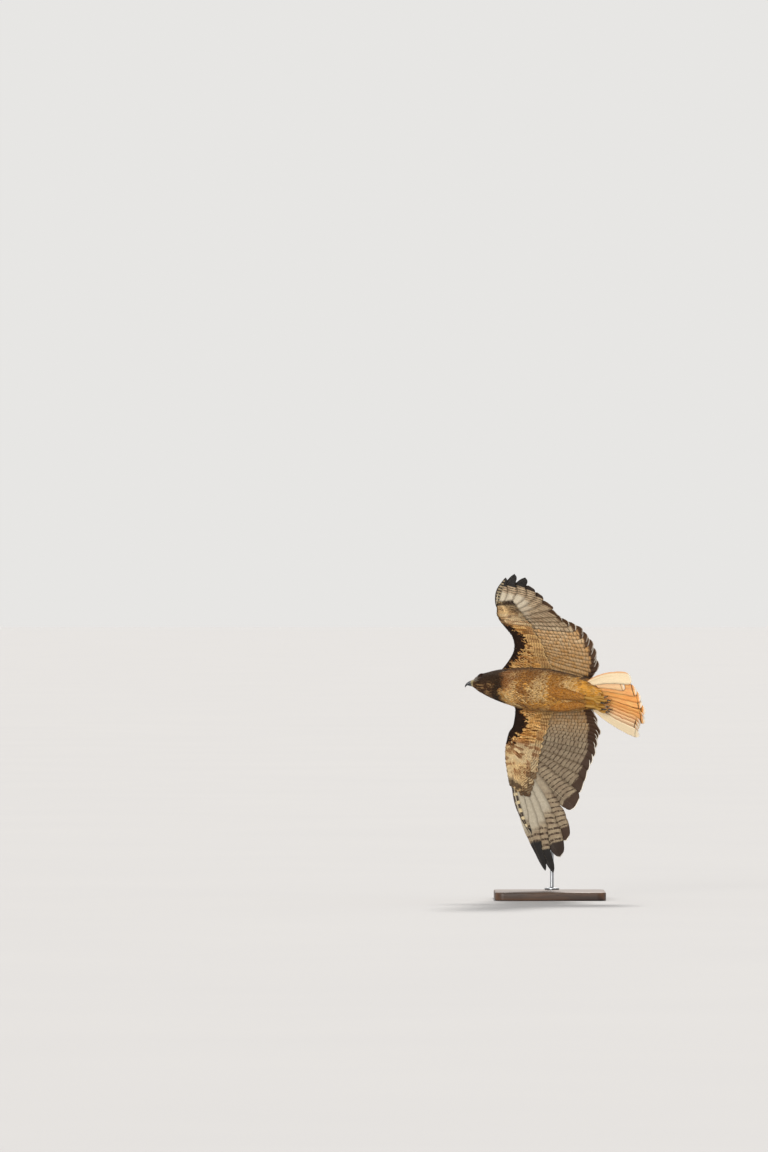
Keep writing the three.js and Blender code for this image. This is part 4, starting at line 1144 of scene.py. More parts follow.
def wingSkin(word, side):
    corners = coverts["skinSides"]
    s = np.linspace(coverts["from"], coverts["skinTo"], coverts["skinRows"])
    gs, gt = pairsOf(s, turnsOf(corners))
    front = leadingEdge(word, gs)
    depth, above, below = sampled(wingCore, gs).T
    nose = (np.cos(gt) + 1) / 2
    thick = np.sin(gt) * coreThickness(nose)
    ending = ease(gs, coverts["skinTo"], 272)
    x = mixed(front - 5, front - 1.2 - (depth - 2) * (1 - nose), 0.3 + 0.7 * ending)
    points = onWing(side, gs, x, thick * (0.15 + 0.85 * ending) * (np.where(thick > 0, above, below) - 1))
    share = np.clip((front - x) / (front - sampled(coverts["tipLine"], gs)[:, 0]), 0, 1)
    under, upper = (looksOf(word, gs, x, share)["tint"] for looksOf in (underCoverts, upperCoverts))
    v = 0.02 + 0.23 * (gt / fullTurn) + (0.5 if side > 0 else 0.75)
    values = {"tint": np.where((thick < 0)[:, None], under, upper),
              "patch": np.stack([0.52 + 0.46 * (gs - 20) / 350, v], -1)}
    return {"points": points, "faces": gridFaces(len(s), corners), "values": values}


# Tubes through points, for legs, brows, toes and the rod

def alongTube(path, radii, t, turn, across=(0, 1, 0)):
    # A place on a round tube: its middle, radius and direction out, and the way the tube runs
    rows = np.column_stack([np.linspace(0, 1, len(path)), path, radii])
    here, ahead, behind = (sampled(rows, at) for at in (t, np.minimum(t + 0.02, 1), np.maximum(t - 0.02, 0)))
    along = unit(ahead[:, :3] - behind[:, :3])
    across = np.asarray(across, float)
    side = unit(across - along * (along @ across)[:, None])
    up = np.cross(along, side)
    return here[:, :3], here[:, 3], side * np.cos(turn)[:, None] + up * np.sin(turn)[:, None], along


def tubePart(path, radii, rows, sides, swell=None, across=(0, 1, 0)):
    gt, gu = pairsOf(np.linspace(0, 1, rows), turnsOf(sides))
    middle, radius, out, _ = alongTube(path, radii, gt, gu, across)
    if swell:
        radius = radius * swell(gt, gu)
    points = middle + out * radius[:, None]
    grid = points.reshape(rows, sides, 3)
    for row in (0, -1):
        grid[row] = mixed(grid[row].mean(0), grid[row], 0.06)
    values = {"along": gt, "around": gu / fullTurn}
    return {"points": points, "faces": gridFaces(rows, sides), "values": values}


def tubeSkin(path, radii, rows, sides, code, patch):
    part = tubePart(path, radii, rows, sides)
    u, v = patch(part["values"]["around"], part["values"]["along"])
    tint = np.tile(paint(code), (len(part["points"]), 1))
    return part | {"values": {"tint": tint, "patch": np.stack([u, v], -1)}}


def tubeFeathers(path, radii, look, way, lengths):
    # Feathers in rows round a tube, lying along it where way is 1 and back where it is -1
    at, turns, total, step = [], [], look["total"], look["step"]
    for k, t in enumerate(np.arange(*look["ends"], step / total)):
        radius = sampled(np.column_stack([np.linspace(0, 1, len(radii)), radii]), t)[0]
        count = max(look["fewest"], int(2 * np.pi * radius / step))
        at.append(np.full(count, t) + chance.normal(0, 0.006, count))
        turns.append((np.arange(count) + 0.5 * (k % 2)) / count * 2 * np.pi)
    t, turn = np.clip(np.concatenate(at), look["lowest"], 0.99), np.concatenate(turns)
    length = lengths(t)
    middle, radius, out, along = alongTube(path, radii, t, turn)
    root = middle + out * (radius - look["sunk"])[:, None]
    there = t + way * (length / total)
    later, wider, outLater, _ = alongTube(path, radii, np.clip(there, 0, 1), turn)
    past = (there - np.clip(there, 0, 1)) * total
    tip = later + outLater * (wider + look["raised"])[:, None] + along * past[:, None]
    return root, root + unit(tip - root) * length[:, None], out, t, turn


def coatLooks(tint, count, streak=0, bars=0, fringe=0, barPitch=3):
    return {"tint": tint, "streak": streak, "bars": bars, "fringe": fringe, "barPitch": barPitch,
            "lot": chance.random(count)}


# Legs

thighSet = {
    "path": [[-2, 22, -34], [-40, 20, -42], [-72, 17, -42], [-98, 13, -41], [-112, 13, -41]],
    "radii": [13, 17, 15, 10, 5.5], "coat": 1.6,
    "total": 112.0, "step": 4.2, "ends": (0.0, 0.97), "lowest": 0, "fewest": 8, "sunk": 1.8, "raised": 0.2,
}


def thighPath(side):
    return np.array(thighSet["path"], float) * (1, side, 1)


def thighPart(side):
    aside = 0.25 if side > 0 else 0
    patch = lambda around, along: (0.52 + 0.2 * around + aside, 0.02 + 0.4 * along)
    radii = np.array(thighSet["radii"]) - thighSet["coat"]
    return tubeSkin(thighPath(side), radii, 30, 28, bodyPaint["trousers"], patch)


def thighCoat(side):
    lengths = lambda t: mixed(19, 13, t) * chance.uniform(0.85, 1.15, len(t))
    root, tip, out, t, turn = tubeFeathers(thighPath(side), thighSet["radii"], thighSet, 1, lengths)
    luck = chance.random(len(t))
    tint = painted(bodyPaint["trousers"], bodyPaint["trousersDark"], 0.6 * luck)
    looks = coatLooks(tint, len(t), 0.4 * (luck > 0.5), 0.3, 0.15, 3.2)
    patch = np.stack([0.02 + 0.46 * (turn / fullTurn % 1) + (0.5 if side > 0 else 0), 0.02 + 0.96 * t], -1)
    return smallFeathers(root, tip, out, mixed(8.5, 6, t), 1.1, 0.4, "contour", "plain", patch, looks)


# Bill

bill = {
    "upper": [[207.35, 2.4, 10.2, 7.4], [212, 1.7, 8.5, 6.9], [217, 0.6, 7, 6.2], [222, -1.2, 5.7, 5.3],
              [226.5, -3.9, 4.5, 4.5], [230.2, -7.4, 3.3, 3.5], [232.4, -11.4, 2.3, 2.5],
              [233.2, -15.2, 1.4, 1.6], [233, -18, 0.65, 0.8], [232.6, -19.6, 0.06, 0.08]],
    "lower": [[207.35, -8.5, 8.3, 3.9], [212, -8.6, 7.2, 3.5], [217, -8.8, 5.8, 2.9], [221.5, -9.3, 4.2, 2.3],
              [225, -10, 2.6, 1.6], [227.2, -10.8, 1.1, 0.75], [227.8, -11.1, 0.08, 0.08]],
    # where the nostril is, how deep and how long, the swelling of the cere round it, and where the cere ends
    "nostril": (215.6, 2.6), "pitDepth": 0.2, "pitLong": 1.5, "pitReach": 1.25, "swell": 0.45,
    "cereEnds": {"upper": 219.6, "lower": 214.5},
    "hornBase": "6a655e", "horn": "25282e", "hornPale": "5a5c60", "tip": "121317", "cere": "9c8a58",
    "cereDull": "7f7350", "gape": "a9a07f", "gapeDull": "857a5c", "pit": "1b1510",
}


def billPart(half, stations, sides):
    rows, isUpper = np.array(bill[half], float), half == "upper"
    t = np.linspace(0, len(rows) - 1, stations)
    x, z, wide, high = sampled(np.column_stack([np.arange(len(rows)), rows]), t).T[..., None]
    lean = np.arctan2(np.gradient(z[:, 0]), np.gradient(x[:, 0]))[:, None] * ease(t, 0, 0.8)[:, None]
    turn = turnsOf(sides)
    # The ridge along the top is narrow and the cutting edge is sharp
    keen = 1 + sum(0.05 * hump(turn, place * np.pi, 0.35) for place in (1.65, 1.35))
    y = wide * (np.cos(turn) * (1 - 0.22 * np.maximum(0, np.sin(turn)) ** 2) * keen)
    up = high * np.sin(turn)
    px, pz = x - up * np.sin(lean), z + up * np.cos(lean)
    pit = np.zeros_like(y)
    if isUpper:
        ahead, above = px - bill["nostril"][0], pz - bill["nostril"][1]
        pit = hump(np.hypot(ahead / bill["pitLong"], above - 0.3 * ahead), 0, bill["pitReach"])
        y = y * (1 - bill["pitDepth"] * pit)
        y = y + np.sign(y) * bill["swell"] * hump(px, 212.5, 3.6) * hump(pz, 4.5, 6)
    closed = np.where(np.arange(stations) > 0, 1, 0.05)[:, None]
    y, pz = y * closed, z + (pz - z) * closed
    end = bill["cereEnds"][half]
    cere = 1 - ease(px + 0.12 * (pz - 2) + 0.5 * np.sin(pz * 1.3), end - 0.7, end + 0.7)
    values = {"cere": spreadOut(cere, *y.shape), "pit": spreadOut(pit, *y.shape),
              "far": spreadOut((t / (len(rows) - 1))[:, None], *y.shape)}
    return {"points": onHead(px, y, pz).reshape(-1, 3), "faces": gridFaces(stations, sides), "values": values}


def billFinish():
    p = bill
    m = Finish("bill_horn", Roughness=0.3, Specular_IOR_Level=0.5, Coat_Weight=0.25, Coat_Roughness=0.2)
    cloud, fine = m.grain(420.0, 3.0), m.grain(1500.0, 2.0)
    far, cere = m.read("far"), m.read("cere")
    horn = m.blend(m.step(far, 0.24, 0.42), p["hornBase"], p["horn"])
    horn = m.blend(cloud * 0.3, horn, p["hornPale"])
    horn = m.blend(m.step(far, 0.42, 0.7), horn, p["tip"])
    colour = m.blend(cere, horn, m.blend(cloud, p["cere"], p["cereDull"]))
    # The nostril is painted near black: painted shade in its opening
    colour = m.blend(m.step(m.read("pit"), 0.3, 0.8), colour, p["pit"])
    rough = m.blend(cere, (0.3, 0.3, 0.3, 1), (0.55, 0.55, 0.55, 1))
    m.feed(Base_Color=colour, Roughness=rough, Normal=m.bump(fine, 0.25, 0.0002))
    return m


def gapeFold(side):
    # The mouth's soft corner, from the bill back to below the eye
    x = np.array([216.0, 211, 206.5, 203, 199, 195, 191.5])
    low = np.radians([26, 25, 24, 22.5, 20, 18, 16.5])
    path = onBodyRing(np.minimum(x, 207), -low if side > 0 else np.pi + low, np.where(x > 207, -1.2, -0.6))
    path[:, 0] = x
    path[:2] = onHead(x[:2], side * np.array([5.9, 7.9]), np.array([-5.2, -5.1]))
    wrinkled = lambda t, u: 1 + 0.16 * np.sin(t * 55) * np.sin(u + t * 9) + 0.1 * np.sin(t * 23 + 1)
    return tubePart(path, [0.25, 0.55, 0.72, 0.64, 0.5, 0.34, 0.12], 60, 12, wrinkled)


# Eyes and their lids

eyePaint = {"iris": "2c180c", "irisPale": "502c14", "pupil": "050505", "white": "1d1510",
            "lid": "5f5542", "lidDull": "3f3527", "lidEdge": "1d1712"}
# The lid's section: out over the ball from its edge, a fold, and back underneath
lidSection = {
    "share": [0, 0.02, 0.1, 0.22, 0.34, 0.44, 0.56, 0.72, 0.88, 1, 0.6, 0.15],
    "radius": [8.1, 8.75, 8.95, 8.7, 8.6, 8.95, 8.9, 8.9, 8.7, 8.2, 7.4, 7.6],
    "opening": 44.5, "outer": 86, "places": 56,
}


def eyeAxes(side):
    gaze = unit(onHead(eyeSet["ahead"], side * 0.96, eyeSet["rise"]))
    forward = unit(onHead(1, 0, 0) - gaze * (gaze @ onHead(1, 0, 0)))
    return gaze, forward, np.cross(forward, gaze) * -side


def aroundEye(side, lean, turn, radius):
    gaze, forward, upward = eyeAxes(side)
    lean, turn, radius = (v[..., None] for v in np.broadcast_arrays(lean, turn, radius))
    across = np.cos(turn) * forward + np.sin(turn) * upward
    return eyeMiddle(side) + radius * (np.cos(lean) * gaze + np.sin(lean) * across)


def eyeBall(side):
    lean = np.radians(np.concatenate([[0.3], np.linspace(2, 70, 34), np.linspace(76, 179, 14)]))
    gl, gt = pairsOf(lean, turnsOf(40))
    points = aroundEye(side, gl, gt, eyeSet["radius"] + 0.5 * hump(np.degrees(gl), 0, 32))
    values = {"lean": np.degrees(gl), "turn": gt}
    return {"points": points, "faces": gridFaces(len(lean), 40), "values": values}


def eyeFinish():
    p, edge = eyePaint, float(eyeSet["iris"])
    m = Finish("eye_glass", Roughness=0.1, Specular_IOR_Level=0.05, Coat_Weight=0.25, Coat_Roughness=0.02)
    lean, turn = m.read("lean"), m.read("turn")
    rays = m.grain(2.4, 3.0, m.at(turn.calc("SINE") * 4.0, turn.calc("COSINE") * 4.0, lean * 0.03))
    iris = m.blend(m.step(rays, 0.35, 0.65), p["iris"], p["irisPale"])
    iris = m.blend(m.step(lean, edge - 10.0, edge - 1.0), iris, p["pupil"])
    colour = m.blend(m.step(lean, eyeSet["pupil"] - 0.8, eyeSet["pupil"] + 0.8), p["pupil"], iris)
    m.feed(Base_Color=m.blend(m.step(lean, edge - 1.0, edge + 1.0), colour, p["white"]))
    return m


def eyeLid(side):
    look, turn = lidSection, turnsOf(lidSection["places"])
    share, radius = np.array(look["share"]), np.array(look["radius"])
    upper = np.maximum(0, np.sin(turn)) ** 1.3
    opening = look["opening"] - 9 * upper - 3 * np.maximum(0, -np.sin(turn)) + 4 * np.abs(np.cos(turn)) ** 6
    lean = np.radians(opening[:, None] + (look["outer"] - opening[:, None]) * share)
    points = aroundEye(side, lean, turn[:, None], radius + 0.35 * upper[:, None] * hump(share, 0.15, 0.3))
    points = np.concatenate([points, points[:1]])
    size = points.shape[:2]
    values = {"edge": spreadOut(hump(share, 0.03, 0.1), *size)}
    return {"points": points.reshape(-1, 3), "faces": gridFaces(*size), "values": values}


def lidFinish():
    m = Finish("eyelid_skin", Roughness=0.55, Specular_IOR_Level=0.4)
    cloud = m.grain(1400.0, 3.0)
    colour = m.blend(cloud, eyePaint["lid"], eyePaint["lidDull"])
    colour = m.blend(m.read("edge"), colour, eyePaint["lidEdge"])
    m.feed(Base_Color=colour, Normal=m.bump(cloud, 0.6, 0.0003))
    return m


browSet = {
    "x": [180, 186, 192, 198, 204], "out": [20.4, 21.5, 20.8, 17.9, 13.4],
    "up": [12.6, 14.6, 15, 13.4, 10.6], "radii": [0.8, 2, 2.3, 1.9, 0.6], "coat": 0.3,
    "total": 29.0, "step": 1.15, "ends": (0.02, 0.98), "lowest": 0.01, "fewest": 5,
    "sunk": 0.5, "raised": 0.15,
}


def browPath(side):
    return onHead(np.array(browSet["x"], float), side * np.array(browSet["out"]), np.array(browSet["up"]))


def browRidge(side):
    patch = lambda around, along: (0.5 + 0 * around, 0.5 + 0 * along)
    radii = np.array(browSet["radii"]) - browSet["coat"]
    return tubeSkin(browPath(side), radii, 26, 16, bodyPaint["brow"], patch)


def browCoat(side):
    # Short feathers lie back along the ridge over the eye
    lengths = lambda t: chance.uniform(3.4, 4.8, len(t))
    root, tip, out, t, turn = tubeFeathers(browPath(side), browSet["radii"], browSet, -1, lengths)
    # Feathers facing up take the crown's paler colour and fringe: partly painted light from above
    pale = ease(out @ onHead(0.0, 0.0, 1.0), -0.2, 0.8)
    looks = coatLooks(painted(bodyPaint["brow"], bodyPaint["crown"], 0.6 * pale), len(t), 0.3, 0, 0.1 * pale)
    patch = np.stack([0.02 + 0.05 * (turn / 6.3), 0.92 + 0.03 * t + (0.035 if side > 0 else 0)], -1)
    width = chance.uniform(1.5, 1.9, len(t))
    return smallFeathers(root, tip, out, width, 0.22, 0.05, "contour", "plain", patch, looks, 0.1)


bristles = {
    # degrees round from the crown, how far back they start, how many, length, lean outwards, colours
    "lore": {"round": (38, 106), "x": 196, "count": 380, "length": (2.4, 4.2), "lean": (0.1, 0.4),
             "paints": ("lore", "head")},
    "chin": {"round": (112, 180), "x": 186, "count": 760, "length": (3, 5.8), "lean": (-0.2, 0.02),
             "paints": ("crown", "cheek")},
    "forehead": {"round": (0, 40), "x": 196, "count": 320, "length": (2.2, 3.6), "lean": (-0.15, 0.08),
                 "paints": ("cheek", "head")},
}


def faceBristles(side):
    # Fine bristles round the bill's root point forwards
    made = []
    for row in bristles.values():
        n = row["count"]
        x = 208 - (208 - row["x"]) * chance.random(n) ** 1.5
        turn = np.pi / 2 - side * np.radians(chance.uniform(*row["round"], n))
        root = onBodyRing(x, turn, -0.9)
        outward = unit(root - onHead(x, 0.0, 0.0))
        lean = outward * chance.uniform(*row["lean"], n)[:, None]
        way = unit(onHead(1.0, 0, 0) + lean + chance.normal(0, 0.12, (n, 3)))
        tip = root + way * chance.uniform(*row["length"], n)[:, None]
        first, second = (bodyPaint[key] for key in row["paints"])
        tint = painted(first, second, (chance.random(n) > 0.4) * 0.85)
        looks = coatLooks(painted(bodyColours(x, turn)["tint"], tint, ease(x, 188, 206) * 0.8), n)
        patch = bodyPatch(x, turn)
        made.append(smallFeathers(root, tip, outward, 0.5, 0.22, 0.1, "lance", "plain", patch, looks, 0.02))
    return made


# Tiny feathers behind and over the eye: tried, and kept in a band round it, in degrees from its front
ringSet = {"tried": 5000, "near": 6.7, "far": 9.6, "first": 75, "last": 262, "length": (2.2, 3.4)}


def orbitalRing(side):
    look = ringSet
    x, fromSide = chance.uniform(178, 206, look["tried"]), chance.uniform(-0.7, 1.5, look["tried"])
    turn = fromSide if side > 0 else np.pi - fromSide
    gaze, forward, upward = eyeAxes(side)
    root = onBody(x, turn, -0.9)
    off = root - eyeMiddle(side)
    ahead, above = off @ forward, off @ upward
    away, angle = np.hypot(ahead, above), np.degrees(np.arctan2(above, ahead)) % 360
    kept = (away > look["near"]) & (away < look["far"]) & (off @ gaze > 0)
    kept &= (angle > look["first"]) & (angle < look["last"])
    x, turn, root, ahead, above = (v[kept] for v in (x, turn, root, ahead, above))
    n = len(x)
    radial = unit(ahead[:, None] * forward + above[:, None] * upward)
    # They lie away from the eye and back
    way = unit(radial + 0.42 * gaze - 0.7 * forward + chance.normal(0, 0.1, (n, 3)))
    tip = root + way * chance.uniform(*look["length"], n)[:, None]
    looks = coatLooks(painted(bodyPaint["brow"], bodyPaint["cheek"], chance.random(n)), n)
    patch = bodyPatch(x, turn)
    return smallFeathers(root, tip, gaze + 0.2 * radial, 1.2, 0.2, 0.05, "lance", "plain", patch, looks)


# Feet

feet = {
    "out": 12, "shank": [[-106, 1, -41], [-118, 1, -41], [-132, 0.5, -42.5], [-152, 0, -43]],
    "shankRadii": [3.6, 3.7, 3.8, 5], "toeRadii": [1.15, 1.0, 0.95, 0.7], "clawRadii": [2.5, 1.7, 0.25],
    # the inner, middle and outer toe and the hind one, each with its claw
    "toes": [
        {"thick": 3.2, "toe": [[-150, 0, -43], [-165, -5, -47], [-175, -6, -50], [-181, -6, -46]],
         "claw": [[-179, -6, -47], [-188, -6, -46], [-193, -6, -40]]},
        {"thick": 3.2, "toe": [[-150, 2, -43], [-168, 2, -48], [-180, 2, -51], [-188, 2, -46]],
         "claw": [[-186, 2, -47], [-195, 2, -46], [-200, 2, -39]]},
        {"thick": 3.2, "toe": [[-150, 4, -43], [-164, 9, -46], [-174, 11, -49], [-180, 11, -45]],
         "claw": [[-178, 11, -46], [-186, 11.5, -45], [-190, 11.5, -40]]},
        {"thick": 3.5, "toe": [[-148, 0, -43], [-158, -2, -52], [-165, -2, -56], [-172, -2, -55]],
         "claw": [[-170, -2, -55.5], [-181, -2, -56], [-188, -2, -50]]},
    ],
    "yellow": "bd8d38", "olive": "855f28", "ochre": "966f30", "claw": "0f0d0d", "clawPale": "2c2622",
}


def footFinish():
    m = Finish("toe_scales", Roughness=0.5, Specular_IOR_Level=0.4)
    # Broad plates across the top of each toe and small scales elsewhere
    plates = abs((m.read("along") * 44.0).calc("SINE"))
    cells = m.add("TexVoronoi", {"Scale": 900.0, "Vector": m.where()}, "Distance")
    onTop = m.step(abs(m.read("around") - 0.25), 0.16, 0.1)
    height = m.add("Mix", {0: onTop, 2: cells, 3: plates}, data_type="FLOAT")
    colour = m.blend(m.step(height, 0.05, 0.4), feet["olive"], feet["yellow"])
    colour = m.blend(m.grain(300.0, 3.0), colour, feet["ochre"])
    m.feed(Base_Color=colour, Normal=m.bump(height, 0.6, 0.0005))
    return m


def footParts(side):
    shift = lambda points: np.array([[x, side * (feet["out"] + y), z] for x, y, z in points], float)
    rings = lambda t, u: 1 + 0.04 * np.abs(np.sin(t * 40))
    pads = lambda u: np.where(np.sin(u) < 0, 1.25, 0.7)
    knuckles = lambda t, u: 1 + 0.13 * np.abs(np.cos(t * np.pi * 2.5)) * pads(u) - 0.04
    narrow = lambda t, u: 1 - 0.14 * np.abs(np.cos(u))
    scaly, claws = [tubePart(shift(feet["shank"]), feet["shankRadii"], 50, 20, rings)], []
    for one in feet["toes"]:
        scaly.append(tubePart(shift(one["toe"]), np.array(feet["toeRadii"]) * one["thick"], 44, 20, knuckles))
        claws.append(tubePart(shift(one["claw"]), feet["clawRadii"], 26, 14, narrow))
    return scaly, claws


print("head, bill and eyes")
hornFinish = billFinish()
gapeFinish = twoTone("gape_skin", bill["gape"], bill["gapeDull"], (900.0, 3.0), (0.4, 0.0003),
                     Roughness=0.5, Specular_IOR_Level=0.4)
makePiece("bill_upper_horn", [billPart("upper", 84, 52)], hornFinish, ["bill_upper"])
makePiece("bill_lower_horn", [billPart("lower", 44, 40)], hornFinish, ["bill_lower"])
makePiece("gape_folds", [gapeFold(1), gapeFold(-1)], gapeFinish)
glass = eyeFinish()
for word, side in wingSides.items():
    makePiece(f"eye_{word}_glass", [eyeBall(side)], glass, [f"eye_{word}"])
makePiece("eyelids", [eyeLid(1), eyeLid(-1)], lidFinish())
print("feet")
scaleFinish = footFinish()
hornClaw = twoTone("claw_horn", feet["claw"], feet["clawPale"], (700.0, 3.0), (0.15, 0.0002),
                   Roughness=0.22, Specular_IOR_Level=0.5)
for word, side in wingSides.items():
    scaly, claws = footParts(side)
    makePiece(f"toes_{word}", scaly, scaleFinish, [f"foot_{word}"])
    makePiece(f"claws_{word}", claws, hornClaw)


# Stand: the wooden base in metres, the rod and its flange in millimetres

stand = {
    "width": 0.3, "depth": 0.32, "thickness": 0.022, "corner": 0.026, "bevel": 0.003,
    # the rod's foot on the base, its end in the bird's own frame, and the bend's handles
    "rod": (8, 118), "rodRadius": 5, "rodEnd": (6, 0, 44), "rodAhead": (6, 0, 89),
    "straightTo": 70, "bendTo": 30, "flange": 20, "flangeHeight": 5, "screwRing": 13.4,
    "wood": "4a2f1d", "woodDark": "2a190f", "woodPale": "6b4a30", "pore": "1c110a",
    "steel": "b9bcc0", "steelDark": "8f9296",
}


def woodFinish():
    p = stand
    m = Finish("oiled_walnut", Roughness=0.42, Specular_IOR_Level=0.45)
    where = m.where(1.2, 11.0, 11.0)
    broad, pores = m.grain(3.0, 4.0, where), m.grain(60.0, 2.0, where)
    waves = {"Vector": where, "Scale": 1.6, "Distortion": 7.0, "Detail": 3.0}
    colour = m.blend(m.add("TexWave", waves, "Fac", bands_direction="Y"), p["woodDark"], p["wood"])
    colour = m.blend(m.step(broad, 0.35, 0.7, 0.0, 0.6), colour, p["woodPale"])
    colour = m.blend(m.step(pores, 0.62, 0.75, 0.0, 0.6), colour, p["pore"])
    m.feed(Base_Color=colour, Normal=m.bump(pores, 0.25, 0.0004))
    m.feed(Roughness=m.step(pores, 0.3, 0.8, 0.36, 0.6))
    return m


def steelFinish():
    m = Finish("brushed_rod", Metallic=1.0, Roughness=0.3)
    brush = m.grain(1.0, 3.0, m.where(900.0, 900.0, 14.0))
    m.feed(Base_Color=m.blend(brush, stand["steelDark"], stand["steel"]), Normal=m.bump(brush, 0.12, 0.0001))
    m.feed(Roughness=m.step(brush, 0.2, 0.8, 0.24, 0.42))
    return m


def baseOutline():
    wide, deep = stand["width"] / 2 - stand["corner"], stand["depth"] / 2 - stand["corner"]
    points = []
    for k, (cx, cy) in enumerate(((wide, deep), (-wide, deep), (-wide, -deep), (wide, -deep))):
        for a in np.linspace(k * np.pi / 2, (k + 1) * np.pi / 2, 14):
            points.append((cx + stand["corner"] * math.cos(a), cy + stand["corner"] * math.sin(a)))
    return points


def woodenBase():
    mesh = bpy.data.meshes.new("walnut_base")
    bm = bmesh.new()
    bottom = bm.faces.new([bm.verts.new((x, y, 0)) for x, y in baseOutline()])
    grown = bmesh.ops.extrude_face_region(bm, geom=[bottom])["geom"]
    top = [v for v in grown if isinstance(v, bmesh.types.BMVert)]
    bmesh.ops.translate(bm, vec=(0, 0, stand["thickness"]), verts=top)
    bmesh.ops.recalc_face_normals(bm, faces=bm.faces)
    bm.to_mesh(mesh)
    bm.free()
    mesh.shade_smooth()
    handOver("walnut_base", mesh, woodFinish(), ["stand_base"], stand["bevel"])


def turnedPart(section, middle, sides):
    # A section of radius and height, turned round an upright line
    radius, height = np.array(section, float).T[..., None]
    turn = turnsOf(sides)
    rings = np.stack([radius * np.cos(turn), radius * np.sin(turn), height + 0 * turn], -1) + middle
    return {"points": rings.reshape(-1, 3), "faces": gridFaces(len(section), sides), "values": {}}


def rodPath():
    # Up from inside the flange, then a smooth bend over into the bird's back
    top = stand["thickness"] * 1000
    back, ahead = (inRoom([stand[key]])[0] * 1000 for key in ("rodEnd", "rodAhead"))
    low, high = (np.array([*stand["rod"], ahead[2] + up]) for up in (-stand["straightTo"], stand["bendTo"]))
    t = np.linspace(0, 1, 40)[:, None]
    bend = (1 - t)**3 * low + 3 * (1 - t)**2 * t * high + 3 * (1 - t) * t**2 * ahead + t**3 * back
    upwards = np.array([0, 0.002, 0.005, 0.012, 0.03, 0.07, 0.14, 0.26, 0.42, 0.6, 0.78, 0.93])[:, None]
    return np.concatenate([mixed(np.array([*stand["rod"], top - 6]), low, upwards), bend])


def steelRod():
    path, (cx, cy) = rodPath(), stand["rod"]
    parts = [tubePart(path, np.full(len(path), float(stand["rodRadius"])), 160, 32, across=(1, 0, 0))]
    low, r, h = stand["thickness"] * 1000 + 0.35, stand["flange"], stand["flangeHeight"]
    flange = [(0.1, 0), (r - 0.2, 0), (r, 0.3), (r, h - 1), (r - 0.3, h - 0.3), (r - 1, h), (9, h),
              (7.4, h + 0.6), (6.4, h + 2.2), (5.2, h + 2.6)]
    parts.append(turnedPart(flange, (cx, cy, low), 64))
    screw = [(0.05, -0.35), (0.9, -0.35), (1.1, 0.5), (2.4, 0.75), (3.1, 0.3), (3.3, -0.4)]
    for angle in np.radians([90, 210, 330]):
        at = (cx + stand["screwRing"] * math.cos(angle), cy + stand["screwRing"] * math.sin(angle), low + h)
        dome = turnedPart(screw, at, 24)
        parts.append(dome | {"faces": dome["faces"][:, ::-1]})
    makePiece("steel_rod", parts, steelFinish(), ["stand_rod"], asRoom)


print("stand")
woodenBase()
steelRod()


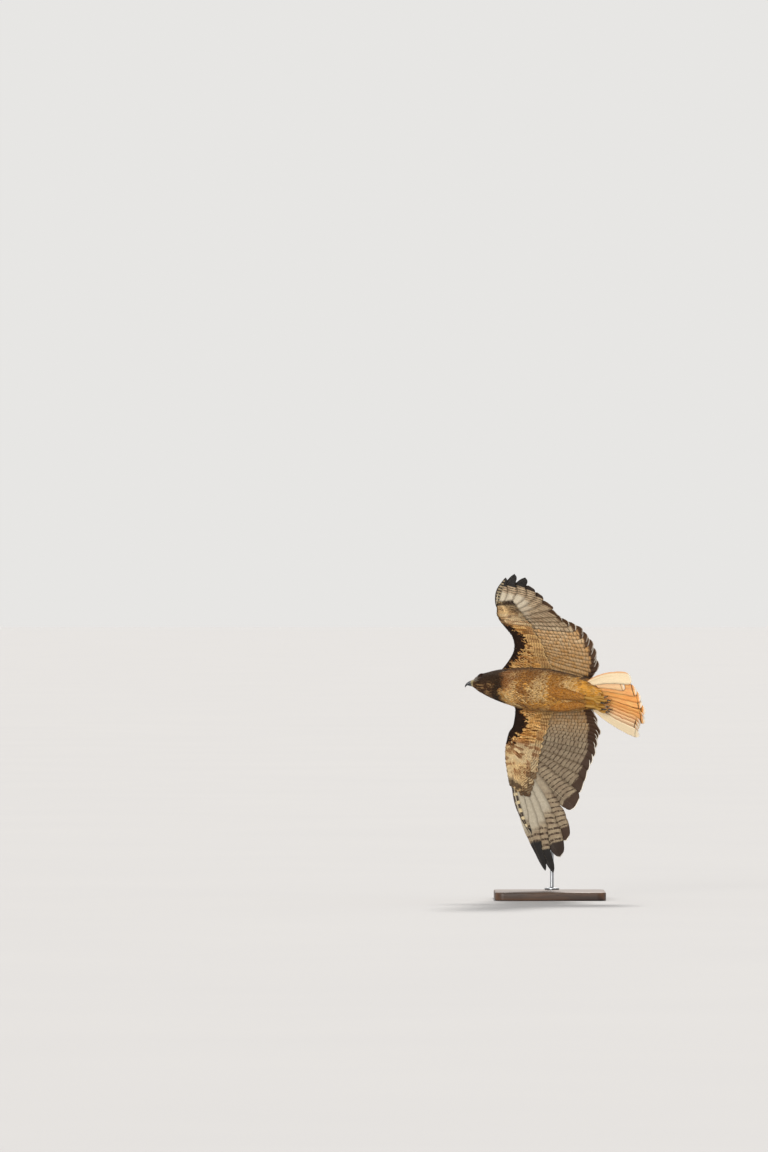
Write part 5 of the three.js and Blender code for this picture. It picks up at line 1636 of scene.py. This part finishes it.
print("skin and coat")
contourFinish, covertFinish = coatFinish("contour_feather", 0.05), coatFinish("covert_feather", 0.08)
skinParts = [bodySkin(), *(form(side) for form in (thighPart, browRidge) for side in (1, -1))]
skinParts += [wingSkin(word, side) for word, side in wingSides.items()]
makePiece("skin", skinParts, skinFinish(),
          ["torso", "neck", "head", "thigh_left", "thigh_right", "wing_arm_left", "wing_arm_right"])
coats = bodyCoat()
makePiece("body_feathers", [coats["body"]], contourFinish)
makePiece("neck_feathers", [coats["neck"]], contourFinish)
makePiece("head_feathers", [coats["head"], browCoat(1), browCoat(-1), *faceBristles(1), *faceBristles(-1),
                            orbitalRing(1), orbitalRing(-1)], contourFinish)
makePiece("leg_feathers", [thighCoat(1), thighCoat(-1)], contourFinish)
for word, side in wingSides.items():
    makePiece(f"under_coverts_{word}", [wingCoverts(word, side, True)], covertFinish)
    makePiece(f"upper_coverts_{word}", [wingCoverts(word, side, False)], covertFinish)


# Floor, light and camera, which looks level at the bird from far off
studio = {
    "floor": "aaa9aa", "floorPale": "aeadad", "room": 0.8, "lens": 346.9, "camera": (-0.448, -30.03, 0.874),
    # towards each light, its strength, its width in degrees and its colour
    "suns": {"soft_key": ((0.1, 0.75, 0.85), 3.4, 12, (1, 0.97, 0.92)),
             "soft_fill": ((-0.35, -1, 0.22), 1.9, 25, (1, 0.98, 0.94))},
}


def makeFloor():
    mesh = bpy.data.meshes.new("studio_floor")
    bm = bmesh.new()
    bmesh.ops.create_circle(bm, cap_ends=True, segments=96, radius=160)
    bm.to_mesh(mesh)
    bm.free()
    floor = bpy.data.objects.new("studio_floor", mesh)
    floor.location.z = -0.0004
    bpy.context.scene.collection.objects.link(floor)
    plain = twoTone("floor_paint", studio["floorPale"], studio["floor"], (0.9, 2.0),
                    Roughness=0.85, Specular_IOR_Level=0.2)
    mesh.materials.append(plain.material)


def makeStudio():
    makeFloor()
    scene = bpy.context.scene
    for name, (towards, strength, angle, colour) in studio["suns"].items():
        light = bpy.data.lights.new(name, "SUN")
        light.energy, light.angle, light.color = strength, math.radians(angle), colour
        lamp = bpy.data.objects.new(name, light)
        lamp.rotation_euler = (-Vector(towards)).to_track_quat("-Z", "Y").to_euler()
        scene.collection.objects.link(lamp)
    scene.world = bpy.data.worlds.new("room_light")
    scene.world.use_nodes = True
    air = scene.world.node_tree.nodes["Background"]
    air.inputs["Color"].default_value = (1, 0.99, 0.97, 1)
    air.inputs["Strength"].default_value = studio["room"]
    camera = bpy.data.objects.new("camera", bpy.data.cameras.new("camera"))
    camera.location, camera.rotation_euler = studio["camera"], (math.pi / 2, 0, 0)
    camera.data.lens, camera.data.sensor_width, camera.data.clip_end = studio["lens"], 36, 300
    scene.collection.objects.link(camera)
    scene.camera = camera
    scene.view_settings.view_transform = "Standard"


print("studio")
makeStudio()
